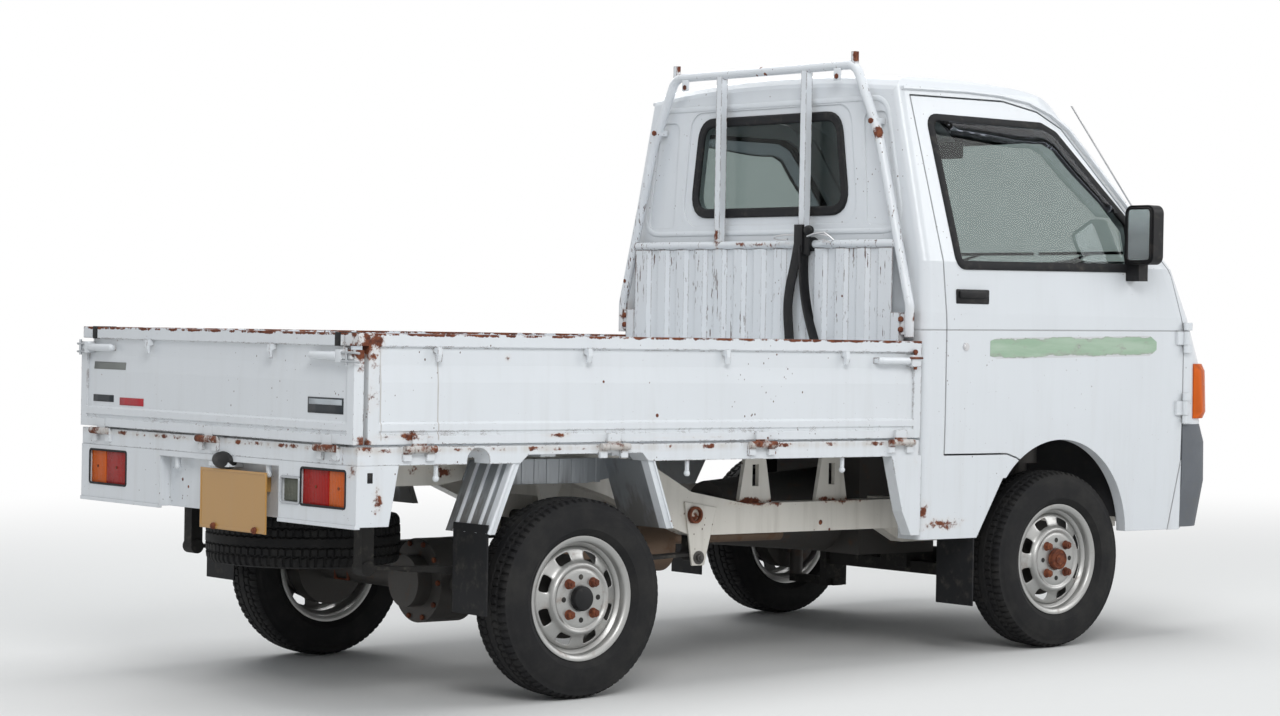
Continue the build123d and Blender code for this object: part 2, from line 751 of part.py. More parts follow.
with BuildPart() as tail_lamps:
    for side in (-1, 1):
        y0, y1 = sorted((side * LAMP[0], side * LAMP[1]))
        block(lamp_face, lamp_back - seat_gap, y0 + seat_gap, y1 - seat_gap,
              LAMP[2] + seat_gap, LAMP[3] - seat_gap)
    block(lamp_face, lamp_back - seat_gap, REVERSE[0] + 1 + seat_gap, REVERSE[1] - 1 - seat_gap,
          REVERSE[2] + seat_gap, REVERSE[3] - seat_gap)
save(tail_lamps.part, "tail_lamps")

with BuildPart() as number_plate:
    block(-733, -731, -292, 38, 432, 592)
    block(-731, -693 - seat_gap, -250, -220, 540, 580)
    block(-731, -693 - seat_gap, -34, -4, 540, 580)
save(number_plate.part, "number_plate")

# Chassis: two box rails, cross members, bed supports and the plates that hold the springs
spring_y = (rail_half_inner + rail_half_outer) / 2
spring_width = 48
hanger_plate = 6
with BuildPart() as chassis_frame:
    rear_rail = [
        (-635, 560), (-300, 560), (-60, 602), (20, 602), (130, 560), (260, 520), (400, 460), (560, 402),
        (1430 + ahead, 402), (1430 + ahead, 488), (760, 488), (560, 525), (420, 600), (250, rail_bottom + 12),
        (-635, rail_bottom + 12),
    ]
    front_rail = [(1380, 402), (1480, 350), (2200, 350), (2425, 372), (2425, 424.6), (1460, 424.6),
                  (1430, 488), (1380, 488)]
    front_rail = [(x + ahead, z) for x, z in front_rail]
    for side in (-1, 1):
        y0, y1 = sorted((side * rail_half_inner, side * rail_half_outer))
        side_slab(rear_rail, y0, y1)
        y0, y1 = sorted((side * front_rail_inner, side * front_rail_outer))
        side_slab(front_rail, y0, y1)
        y0, y1 = sorted((side * (rail_half_inner + 20), side * (rail_half_outer - 20)))
        for x in (815, 1110 + ahead):
            support = [(x - 62, 486), (x + 62, 486), (x + 34, 639.7), (x - 34, 639.7)]
            side_slab(support, y0, y1)
            with Locations((x, side * spring_y, 566)):
                Box(24, 80, 62, mode=Mode.SUBTRACT)
        plate = sorted((side * rail_half_outer, side * (rail_half_outer + hanger_plate)))
        side_slab([(532, 498), (648, 480), (606, 318), (562, 318)], plate[0], plate[1])
        bump_stop = [(22, 604), (122, 566), (96, 508), (50, 508)]
        side_slab(bump_stop, y0, y1)
    for x, z0, z1 in ((-610, 570, 630), (-60, 610, 636), (420, 490, 560), (700, 428, 486)):
        block(x - 25, x + 25, -rail_half_inner - 5, rail_half_inner + 5, z0, z1)
    for side in (-1, 1):
        y0, y1 = sorted((side * front_rail_inner, side * rail_half_outer))
        block(1378 + ahead, 1432 + ahead, y0, y1, 410, 480)
    for x in (1800 + ahead, 2385 + ahead):
        block(x - 30, x + 30, -front_rail_inner - 5, front_rail_inner + 5, 362, 418)
    block(spare_x - 25, spare_x + 25, -rail_half_inner - 5, rail_half_inner + 5, 575, 610)
    with Locations((spare_x, spare_y, 490)):
        Cylinder(12, 200)
    with Locations((spare_x, spare_y, spare_z + hub_face + seat_gap + 4)):
        Cylinder(50, 8)
save(chassis_frame.part, "chassis_frame")

# Rear axle on leaf springs
stub_length = hub_face + 32
stub_y = wheel_y + hub_face + 2 - stub_length / 2
casing_radius = 118
casing_length = 224
with BuildPart() as rear_axle:
    with Locations(Location((rear_axle_x, 0, rear_axle_z), (90, 0, 0))):
        Cylinder(axle_tube_radius, 2 * (wheel_y - 30))
    with Locations(Location((rear_axle_x, 0, rear_axle_z), (0, 90, 0))):
        Cylinder(casing_radius, 130)
        Cylinder(casing_radius - 45, casing_length)
    for side in (-1, 1):
        with Locations(Location((rear_axle_x, side * (wheel_y - 42), rear_axle_z), (90, 0, 0))):
            Cylinder(drum_radius, 60)
        with Locations(Location((rear_axle_x, side * stub_y, rear_axle_z), (90, 0, 0))):
            Cylinder(bore_radius - running_fit, stub_length)
        with Locations((rear_axle_x, side * spring_y, rear_axle_z + axle_tube_radius)):
            Box(90, spring_width + 16, 20)
save(rear_axle.part, "rear_axle")

spring_front_x = 584
spring_rear_x = -520
spring_seat_z = rear_axle_z + axle_tube_radius + 10 + seat_gap
sag = 12
with BuildPart() as leaf_springs:
    for side in (-1, 1):
        y0 = side * spring_y - spring_width / 2
        for rise, front, rear in ((0, 300, -280), (9, 430, -400), (18, spring_front_x, spring_rear_x)):
            with BuildSketch(Plane.XZ.offset(-y0 - spring_width)):
                with BuildLine():
                    z = spring_seat_z + rise
                    ThreePointArc((rear, z + sag), ((front + rear) / 2, z), (front, z + sag))
                    Line((front, z + sag), (front, z + sag + 9.2))
                    ThreePointArc((front, z + sag + 9.2), ((front + rear) / 2, z + 9.2), (rear, z + sag + 9.2))
                    Line((rear, z + sag + 9.2), (rear, z + sag))
                make_face()
            extrude(amount=spring_width)
        for x, z_top in ((spring_front_x, 402), (spring_rear_x, 560)):
            with Locations(Location((x, side * spring_y, spring_seat_z + 34), (90, 0, 0))):
                Cylinder(20, spring_width)
            block(x - 18, x + 18, side * spring_y - 20, side * spring_y + 20, spring_seat_z + 30, z_top - seat_gap)
save(leaf_springs.part, "leaf_springs")

# Front suspension: lower arms and rack on the frame; the struts and hubs turn with the wheels
with BuildPart() as front_suspension:
    for side in (-1, 1):
        y0, y1 = sorted((side * 300, side * (kingpin_y + 10)))
        block(front_axle_x - 20, front_axle_x + 20, y0, y1, 154, 178 - seat_gap)
        y0, y1 = sorted((side * 310, side * 340))
        block(front_axle_x - 45, front_axle_x + 45, y0, y1, 154, 350 - seat_gap)
    block(front_axle_x + 90, front_axle_x + 130, -380, 380, 250, 290)
    block(front_axle_x - 40, front_axle_x + 120, -60, 60, 240, 300)
    block(front_axle_x - 30, front_axle_x + 30, -330, 330, 225, 262)
save(front_suspension.part, "front_suspension")

for side, name in ((1, "left"), (-1, "right")):
    with BuildPart() as knuckle:
        with Locations((front_axle_x, side * kingpin_y, 414)):
            Cylinder(21, 472)
        with Locations((front_axle_x, side * kingpin_y, 622)):
            Cylinder(50, 60)
        with Locations(Location((front_axle_x, side * (wheel_y - 42), front_axle_z), (90, 0, 0))):
            Cylinder(drum_radius, 60)
        y0, y1 = sorted((side * kingpin_y, side * (wheel_y - 60)))
        block(front_axle_x - 30, front_axle_x + 30, y0, y1, front_axle_z - 60, front_axle_z + 60)
        with Locations(Location((front_axle_x, side * stub_y, front_axle_z), (90, 0, 0))):
            Cylinder(bore_radius - running_fit, stub_length)
    save(knuckle.part, f"knuckle_{name}")

# Power train and what hangs below
with BuildPart() as engine_block:
    block(1450, 1770 - seat_gap, -190, 190, 300, 640)
save(engine_block.part, "engine_block", ahead)

with BuildPart() as drive_line:
    with Locations(Location((1224.85 + ahead, 0, 430), (0, 90, 0))):
        Cone(95, 130, 449.7)
    with Locations(Location((960 + ahead, 0, 430), (0, 90, 0))):
        Cylinder(60, 90)
    with BuildLine() as line:
        Line((930 + ahead, 0, 434), (rear_axle_x + casing_length / 2 + 5.2, 0, 287))
    with BuildSketch(Plane(origin=line.line @ 0, z_dir=line.line % 0)):
        Circle(26)
    sweep()
save(drive_line.part, "drive_line")

with BuildPart() as fuel_tank:
    block(560, 960, 90, rail_half_inner - seat_gap, 285, 428 - seat_gap)
    fillet(fuel_tank.edges().filter_by(Axis.X), 24)
save(fuel_tank.part, "fuel_tank")

with BuildPart() as exhaust:
    with Locations(Location((420, -230, 360), (0, 90, 0))):
        Cylinder(75, 420)
    with Locations(Location((850, -230, 380), (0, 90, 0))):
        Cylinder(20, 480)
    block(412, 428, -238, -222, 430, 490 - seat_gap)
save(exhaust.part, "exhaust")


def tyre_form(shoulder):
    """A tyre about its own axle, the y axis: a square ring on the rim flanges, its shoulders cut."""
    with BuildPart() as form:
        with BuildSketch(Plane.YZ):
            with Locations((0, (tyre_radius + rim_flange_radius + seat_gap) / 2)):
                Rectangle(tyre_width, tyre_radius - rim_flange_radius - seat_gap)
        revolve(axis=Axis.Y)
        if shoulder:
            chamfer(form.edges().filter_by(GeomType.CIRCLE).group_by(SortBy.LENGTH)[-1], shoulder)
    return form.part


def rim_form():
    """A pressed steel rim with its outside towards plus y and eight slots round its disc."""
    half = rim_width / 2
    inner = rim_seat_radius - sheet
    with BuildPart() as form:
        with BuildSketch(Plane.YZ):
            with BuildLine():
                Polyline(
                    (half + 4, rim_flange_radius), (half, rim_flange_radius), (half, rim_seat_radius),
                    (-half, rim_seat_radius), (-half, rim_flange_radius), (-half - 4, rim_flange_radius),
                    (-half - 4, inner), (disc_face - sheet, inner), (disc_face - sheet, slot_inner - 6),
                    (hub_face - 11, 80), (hub_face - 6, 46), (hub_face - 6, bore_radius),
                    (hub_face, bore_radius), (hub_face, 48), (hub_face - 5, 84), (disc_face, slot_inner - 4),
                    (disc_face, inner), (half + 4, inner), close=True,
                )
            make_face()
        revolve(axis=Axis.Y)
        with BuildSketch(Plane.XZ.offset(-disc_face - 5)):
            with PolarLocations((slot_inner + slot_outer) / 2, 8, 22.5):
                SlotOverall(slot_length, slot_outer - slot_inner, rotation=90)
        extrude(amount=sheet + 10, mode=Mode.SUBTRACT)
    return form.part


tyre = tyre_form(12)
rim = rim_form()
for x, z, end in ((rear_axle_x, rear_axle_z, "rear"), (front_axle_x, front_axle_z, "front")):
    for side, name in ((1, "left"), (-1, "right")):
        turn = 0 if side > 0 else 180
        spot = Location((x, side * wheel_y, z), (0, 0, turn))
        with BuildPart() as wheel_tyre:
            add(tyre.moved(spot))
        save(wheel_tyre.part, f"tyre_{end}_{name}")
        with BuildPart() as wheel_rim:
            add(rim.moved(spot))
        save(wheel_rim.part, f"rim_{end}_{name}")

flat = Location((spare_x, spare_y, spare_z), (90, 0, 0))
with BuildPart() as spare_wheel:
    add(tyre_form(0).moved(flat))
    add(rim.moved(flat))
save(spare_wheel.part, "spare_wheel")

with BuildPart() as mudguards:
    for side in (-1, 1):
        y0, y1 = sorted((side * (half_width - 200), side * (half_width - 5.5)))
        top = rail_bottom - seat_gap
        side_slab([(-236, top), (-218, top), (-294, 445), (-312, 445)], y0, y1)
        side_slab([(208, top), (226, top), (294, 445), (276, 445)], y0, y1)
        sheet_y = sorted((side * (half_width - 200), side * (half_width - 196)))
        arch = [(-240, top), (230, top), (246, 575), (150, 560), (-130, 560), (-262, 575)]
        side_slab(arch, sheet_y[0], sheet_y[1])
        for x in range(-190, 200, 42):
            block(x - 7, x + 7, sheet_y[0] - 2, sheet_y[1] + 2, 562, top)
save(mudguards.part, "rear_mudguards")

with BuildPart() as mud_flaps:
    for side in (-1, 1):
        y0, y1 = sorted((side * (half_width - 157.5), side * (half_width - 7.5)))
        block(-317.3, -312.3, y0, y1, 235, 470)
        block(1440 + ahead, 1445 + ahead, y0, y1, 185, cab_bottom - seat_gap)
save(mud_flaps.part, "mud_flaps")


def screen_x(y, z, out):
    """The nose of the windscreen at a width and height, plus a distance in front of it."""
    slope = (UPPER_CAB[1][2] - UPPER_CAB[0][2]) / (UPPER_CAB[1][0] - UPPER_CAB[0][0])
    return UPPER_CAB[0][2] + (z - UPPER_CAB[0][0]) * slope - cab_bow * (y / 690) ** 2 + out


blade_z = 1246
blade_out = 14
pivot_z = 1196
with BuildPart() as wipers:
    for pivot_y in (-60, 440):
        tip_y = pivot_y - 470
        middle_y = (pivot_y + tip_y) / 2
        with BuildSketch(Plane.XY.offset(blade_z - 5)):
            with BuildLine():
                Polyline(
                    (screen_x(pivot_y, blade_z, blade_out), pivot_y),
                    (screen_x(middle_y, blade_z, blade_out), middle_y),
                    (screen_x(tip_y, blade_z, blade_out), tip_y),
                    (screen_x(tip_y, blade_z, blade_out + 9), tip_y),
                    (screen_x(middle_y, blade_z, blade_out + 9), middle_y),
                    (screen_x(pivot_y, blade_z, blade_out + 9), pivot_y), close=True,
                )
            make_face()
        extrude(amount=10)
        with BuildLine() as arm:
            Line((screen_x(pivot_y, pivot_z, 20), pivot_y, pivot_z), (screen_x(middle_y, blade_z, 20), middle_y, blade_z))
        with BuildSketch(Plane(origin=arm.line @ 0, z_dir=arm.line % 0)):
            Circle(5)
        sweep()
        with Locations(Location((screen_x(pivot_y, pivot_z, 13.2), pivot_y, pivot_z), (0, 49, 0))):
            Cylinder(9, 18)
save(wipers.part, "wipers", ahead)

with BuildPart() as antenna:
    with BuildLine() as rod:
        Line((2176, -632, 1368), (1883, -632, 1676))
    with BuildSketch(Plane(origin=rod.line @ 0, z_dir=rod.line % 0)):
        Circle(3)
    sweep()
    with BuildSketch(Plane(origin=(2140, -596, 1368), z_dir=(1, -1, 0))):
        Circle(8)
    extrude(amount=62)
    add(outer_form, mode=Mode.SUBTRACT)
save(antenna.part, "antenna", ahead)
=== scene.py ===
"""Dresses the small drop-side truck: worn white paint, tyres, wheels, lamps, glass, trim and rust."""
import json
import math

import bmesh
import bpy
import numpy as np
from bpy.props import FloatProperty, FloatVectorProperty, IntProperty, PointerProperty
from mathutils import Matrix, Vector
from mathutils.bvhtree import BVHTree


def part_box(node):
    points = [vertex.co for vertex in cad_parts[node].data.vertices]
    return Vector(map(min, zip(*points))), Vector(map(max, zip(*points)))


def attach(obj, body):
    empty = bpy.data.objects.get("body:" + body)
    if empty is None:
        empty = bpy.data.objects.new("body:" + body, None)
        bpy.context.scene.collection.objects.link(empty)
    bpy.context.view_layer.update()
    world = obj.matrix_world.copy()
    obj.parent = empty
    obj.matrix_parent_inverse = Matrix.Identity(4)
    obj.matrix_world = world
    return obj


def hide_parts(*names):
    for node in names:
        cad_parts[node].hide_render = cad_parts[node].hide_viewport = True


bl_info = {
    "name": "Drop-side truck looks",
    "version": (1, 0, 0),
    "blender": (4, 5, 0),
    "location": "View3D > Sidebar > Truck",
    "description": "Finishes, wheels, lamps, trim and wear of a small drop-side truck",
    "category": "Object",
}

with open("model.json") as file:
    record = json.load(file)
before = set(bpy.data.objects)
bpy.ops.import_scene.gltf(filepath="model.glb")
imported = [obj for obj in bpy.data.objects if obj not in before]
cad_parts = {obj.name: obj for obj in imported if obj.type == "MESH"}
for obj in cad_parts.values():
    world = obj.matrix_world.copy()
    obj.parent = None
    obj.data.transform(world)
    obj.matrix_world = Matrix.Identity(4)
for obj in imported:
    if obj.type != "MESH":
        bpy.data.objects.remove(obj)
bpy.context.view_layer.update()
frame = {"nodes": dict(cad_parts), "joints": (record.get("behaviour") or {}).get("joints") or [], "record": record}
NODES = frame["nodes"]
RECORD = frame["record"]
JOINTS = {joint["name"]: joint for joint in frame["joints"]}
SIDES = {"left": 1, "right": -1}

# The truck was drawn level, in metres from just behind its rear axle, and stands nose down
BED_UP = Vector(next(mount["axis"] for mount in RECORD["mounts"] if mount["name"] == "bed_floor"))
RAKE = math.atan2(BED_UP.x, BED_UP.z)
REAR_AXLE = Vector(JOINTS["wheel_rear_left_spin"]["pos_m"])
LEVEL_AXLE = Vector((0.012, 0, REAR_AXLE.z))
LEVEL = (
    Matrix.Translation((REAR_AXLE.x, 0, REAR_AXLE.z))
    @ Matrix.Rotation(RAKE, 4, "Y")
    @ Matrix.Translation(-LEVEL_AXLE)
)
TO_LEVEL = LEVEL.inverted()

# Rays that the edge and corner nodes send out from each point
SAMPLES = 4
# Edges that turn by more than this, in radians, are rounded
SHARP = 0.5
WHITE = (1, 1, 1)


class Value:
    """A shader socket that takes part in sums like a number."""

    def __init__(self, nodes, socket):
        self.nodes = nodes
        self.socket = socket

    def maths(self, operation, *others, clamp=False):
        """One Math node on this value and the others."""
        inputs = {0: self}
        inputs.update({index + 1: other for index, other in enumerate(others)})
        settings = {"operation": operation, "use_clamp": clamp}
        return self.nodes.node("ShaderNodeMath", settings, inputs)

    def __add__(self, other):
        return self.maths("ADD", other)

    __radd__ = __add__

    def __mul__(self, other):
        return self.maths("MULTIPLY", other)

    __rmul__ = __mul__

    def __sub__(self, other):
        return self.maths("SUBTRACT", other)

    def __rsub__(self, other):
        return (self * -1) + other

    def __abs__(self):
        return self.maths("ABSOLUTE")

    def clamp(self):
        """This value held between 0 and 1."""
        return self.maths("ADD", 0, clamp=True)

    def highest(self, other):
        """The larger of two values."""
        return self.maths("MAXIMUM", other)

    def rise(self, low, high):
        """0 below low, 1 above high and a soft step between; falls if low is above high."""
        settings = {"interpolation_type": "SMOOTHSTEP"}
        inputs = {0: self, 1: low, 2: high, 3: 0, 4: 1}
        if low > high:
            inputs = {0: self, 1: high, 2: low, 3: 1, 4: 0}
        return self.nodes.node("ShaderNodeMapRange", settings, inputs)

    def between(self, low, high, soft):
        """1 between low and high, with soft ends."""
        return self.rise(low - soft, low + soft) * self.rise(high + soft, high - soft)


class Nodes:
    """The nodes of a material or of the world."""

    def __init__(self, tree):
        self.tree = tree
        self.tree.nodes.clear()

    def add(self, kind, settings=None, inputs=None):
        """A node of a kind with its settings and the values or links of its sockets."""
        made = self.tree.nodes.new(kind)
        for key, setting in (settings or {}).items():
            if key == "stops":
                for index, (at, colour) in enumerate(setting):
                    if index > 1:
                        made.color_ramp.elements.new(at)
                    made.color_ramp.elements[index].position = at
                    made.color_ramp.elements[index].color = (*colour[:3], 1)
            else:
                setattr(made, key, setting)
        for key, value in (inputs or {}).items():
            self.feed(made.inputs[key], value)
        return made

    def node(self, kind, settings=None, inputs=None, output=0):
        """One output of a new node, ready for sums."""
        return Value(self, self.add(kind, settings, inputs).outputs[output])

    def feed(self, socket, value):
        """Link or set one socket."""
        if isinstance(value, Value):
            self.tree.links.new(value.socket, socket)
        elif hasattr(value, "__len__") and socket.type == "RGBA":
            socket.default_value = (*value[:3], 1)
        else:
            socket.default_value = value


class Finish(Nodes):
    """A procedural material, its pattern placed in the truck's level drawing."""

    def __init__(self, name):
        self.material = bpy.data.materials.new(name)
        self.material.use_nodes = True
        super().__init__(self.material.node_tree)
        self.shader = self.add("ShaderNodeBsdfPrincipled")
        self.output = self.add("ShaderNodeOutputMaterial", inputs={0: Value(self, self.shader.outputs[0])})
        self.place = self.level_place()

    def level_place(self):
        """The point's place in the level drawing."""
        coordinate = self.node("ShaderNodeTexCoord", output=3)
        shift = TO_LEVEL.to_translation()
        turn = TO_LEVEL.to_euler()
        return self.node(
            "ShaderNodeMapping",
            {"vector_type": "POINT"},
            {"Vector": coordinate, "Location": shift, "Rotation": turn},
        )

    def axes(self):
        """The three numbers of the place."""
        split = self.add("ShaderNodeSeparateXYZ", inputs={0: self.place})
        return [Value(self, socket) for socket in split.outputs]

    def stretched(self, scale):
        """The place scaled unevenly, so that a pattern runs in one direction."""
        return self.node("ShaderNodeVectorMath", {"operation": "MULTIPLY"}, {0: self.place, 1: scale})

    def noise(self, scale, detail=3, rough=0.55, vector=None):
        """Soft noise from 0 to 1."""
        inputs = {"Vector": vector or self.place, "Scale": scale, "Detail": detail, "Roughness": rough}
        return self.node("ShaderNodeTexNoise", inputs=inputs)

    def cells(self, scale, vector=None):
        """Distance to the nearest of scattered points."""
        return self.node("ShaderNodeTexVoronoi", inputs={"Vector": vector or self.place, "Scale": scale})

    def mix(self, factor, first, second):
        """One colour or the other, by a factor."""
        return self.node("ShaderNodeMix", {"data_type": "RGBA"}, {0: factor, 6: first, 7: second}, 2)

    def ramp(self, value, stops):
        """A colour from a value."""
        return self.node("ShaderNodeValToRGB", {"stops": stops}, {0: value})

    def near(self, point, size):
        """1 at a point of the level drawing, falling to 0 at a distance that differs along x, y and z."""
        offset = self.node("ShaderNodeVectorMath", {"operation": "SUBTRACT"}, {0: self.place, 1: point})
        share = self.node("ShaderNodeVectorMath", {"operation": "DIVIDE"}, {0: offset, 1: size})
        length = self.node("ShaderNodeVectorMath", {"operation": "LENGTH"}, {0: share}, 1)
        return (1 - length).clamp()

    def corners(self, distance):
        """0 deep in a corner and 1 in the open."""
        return self.node("ShaderNodeAmbientOcclusion", {"samples": SAMPLES}, {"Distance": distance}, 1)

    def edges(self, radius):
        """0 on flat ground and more on an edge, from how far rounding it turns the shading normal."""
        rounded_normal = self.node("ShaderNodeBevel", {"samples": SAMPLES}, {"Radius": radius})
        plain_normal = self.node("ShaderNodeNewGeometry", output=1)
        inputs = {0: rounded_normal, 1: plain_normal}
        return (1 - self.node("ShaderNodeVectorMath", {"operation": "DOT_PRODUCT"}, inputs, 1)).clamp()

    def bump(self, height, distance, strength=1.0, soften=0.0):
        """A normal from a height, on edges softened by a radius."""
        inputs = {"Height": height, "Distance": distance, "Strength": strength}
        if soften:
            inputs["Normal"] = self.node("ShaderNodeBevel", {"samples": SAMPLES}, {"Radius": soften})
        return self.node("ShaderNodeBump", inputs=inputs)

    def surface(self, **sockets):
        """Feed the surface shader's sockets, whose spaces are written as underscores."""
        for name, value in sockets.items():
            self.feed(self.shader.inputs[name.replace("_", " ")], value)
        return self.material


class Shape:
    """A mesh under construction in the level drawing, which becomes one piece."""

    def __init__(self):
        self.mesh = bmesh.new()

    def box(self, low, high, turn=None):
        """A box from its corners, turned about its middle if a matrix is given."""
        low, high = Vector(low), Vector(high)
        middle = (low + high) / 2
        size = high - low
        place = Matrix.Translation(middle) @ (turn.to_4x4() if turn else Matrix())
        bmesh.ops.create_cube(self.mesh, size=1, matrix=place @ Matrix.Diagonal((*size, 1)))
        return self

    def rod(self, start, end, radius, sides=16, end_radius=None):
        """A straight rod between two points."""
        start, end = Vector(start), Vector(end)
        line = end - start
        place = Matrix.Translation((start + end) / 2) @ line.to_track_quat("Z", "Y").to_matrix().to_4x4()
        bmesh.ops.create_cone(
            self.mesh, cap_ends=True, segments=sides, radius1=radius,
            radius2=radius if end_radius is None else end_radius, depth=line.length, matrix=place,
        )
        return self

    def ball(self, middle, radius, squash=(1, 1, 1), rows=12):
        """A ball, squashed along the axes."""
        place = Matrix.Translation(middle) @ Matrix.Diagonal((*squash, 1))
        bmesh.ops.create_uvsphere(
            self.mesh, u_segments=2 * rows, v_segments=rows, radius=radius, matrix=place
        )
        return self

    def grid(self, rows, closed_across=False, closed_along=False):
        """Faces between rows of points; a row is a list of points of equal length."""
        verts = [[self.mesh.verts.new(point) for point in row] for row in rows]
        count = len(verts)
        width = len(verts[0])
        for i in range(count if closed_along else count - 1):
            for j in range(width if closed_across else width - 1):
                a, b = verts[i], verts[(i + 1) % count]
                self.mesh.faces.new((a[j], a[(j + 1) % width], b[(j + 1) % width], b[j]))
        return verts

    def close(self, verts):
        """Faces over the first and last row of a grid."""
        self.mesh.faces.new(list(reversed(verts[0])))
        self.mesh.faces.new(verts[-1])

    def tube(self, points, radius, sides=12):
        """A round tube along points."""
        points = [Vector(point) for point in points]
        rows = []
        normal = None
        for index, point in enumerate(points):
            before = points[max(index - 1, 0)]
            after = points[min(index + 1, len(points) - 1)]
            ahead = (after - before).normalized()
            if normal is None:
                normal = ahead.orthogonal().normalized()
            normal = (normal - ahead * normal.dot(ahead)).normalized()
            across = ahead.cross(normal)
            ring = []
            for step in range(sides):
                angle = 2 * math.pi * step / sides
                ring.append(point + radius * (math.cos(angle) * normal + math.sin(angle) * across))
            rows.append(ring)
        self.close(self.grid(rows, closed_across=True))
        return self

    def slab(self, outline, depth):
        """A flat outline of points given thickness by a vector."""
        depth = Vector(depth)
        front = [self.mesh.verts.new(point) for point in outline]
        back = [self.mesh.verts.new(Vector(point) + depth) for point in outline]
        self.mesh.faces.new(front)
        self.mesh.faces.new(list(reversed(back)))
        for index in range(len(front)):
            after = (index + 1) % len(front)
            self.mesh.faces.new((front[after], front[index], back[index], back[after]))
        return self

    def lathe(self, profile, place, steps=64, closed=True):
        """A turned section of (along, radius) pairs about the local z axis of a matrix."""
        rows = []
        for step in range(steps):
            angle = 2 * math.pi * step / steps
            wheel = [(r * math.cos(angle), r * math.sin(angle), along) for along, r in profile]
            rows.append([place @ Vector(point) for point in wheel])
        self.grid(rows, closed_across=closed, closed_along=True)
        return self

    def soften(self, width, segments=2):
        """Round every sharp edge made so far."""
        self.mesh.normal_update()
        sharp = [edge for edge in self.mesh.edges if edge.is_manifold and edge.calc_face_angle(0) > SHARP]
        bmesh.ops.bevel(
            self.mesh, geom=sharp, offset=width, segments=segments, profile=0.5,
            affect="EDGES", clamp_overlap=True,
        )
        return self

    def piece(self, name, material, body, slot, level=True, smooth=0.6):
        """Turn the mesh into a piece that rides on a body."""
        bmesh.ops.recalc_face_normals(self.mesh, faces=self.mesh.faces)
        data = bpy.data.meshes.new(name)
        self.mesh.to_mesh(data)
        self.mesh.free()
        if level:
            data.transform(LEVEL)
        made = bpy.data.objects.new(name, data)
        bpy.context.scene.collection.objects.link(made)
        data.materials.append(material)
        for face in data.polygons:
            face.use_smooth = True
        data.set_sharp_from_angle(angle=smooth)
        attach(made, body)
        return made


FINISHES = {}


def rust_colour(finish):
    """Brown to orange, mottled."""
    grain = finish.noise(60, 4, 0.6)
    stops = [(0.25, (0.035, 0.011, 0.007)), (0.5, (0.14, 0.036, 0.015)), (0.78, (0.27, 0.088, 0.032))]
    return finish.ramp(grain, stops)


# The cab's rear wall, and heights of the body's marks, in the level drawing
REAR_WALL = 1.222
SILL_SEAM = (0.656, 0.674)
HINGE_SEAM = (0.655, 0.682)
RAIL_TOP = (0.9562, 0.9574)
RAIL_LIP = (0.9450, 0.9540)


def sill_seam(x, z):
    """The dirty seam along the foot of the bed."""
    return z.between(*SILL_SEAM, 0.007) * x.rise(1.21, 1.17) * 0.55


def cab_crease(x, y, z):
    """The thin line along the cab's sides, which rises a little to the front."""
    line = abs(z - x * 0.0092 - 0.9789).rise(0.0032, 0.0014) * abs(y).rise(0.60, 0.62)
    return line * x.between(REAR_WALL, 2.36, 0.004)


def hinge_seam(x, y, z):
    """The strip at the foot of the gates, where the hinges are."""
    outside = abs(y).rise(0.7005, 0.7025).highest(x.rise(-0.7365, -0.7380))
    return outside * z.between(*HINGE_SEAM, 0.002)


def weld_lines(x, y, z):
    """The two upright lines near the rear end of each side gate."""
    lines = abs(x + 0.480).rise(0.0026, 0.0012).highest(abs(x + 0.655).rise(0.0026, 0.0012))
    return lines * abs(y).rise(0.685, 0.690) * z.between(0.690, 0.915, 0.004)


def bed_inside(x, y, z):
    """The bed's floor and the foot of its walls."""
    return abs(y).rise(0.640, 0.632) * x.between(-0.676, 1.172, 0.004) * z.between(0.680, 0.760, 0.030)


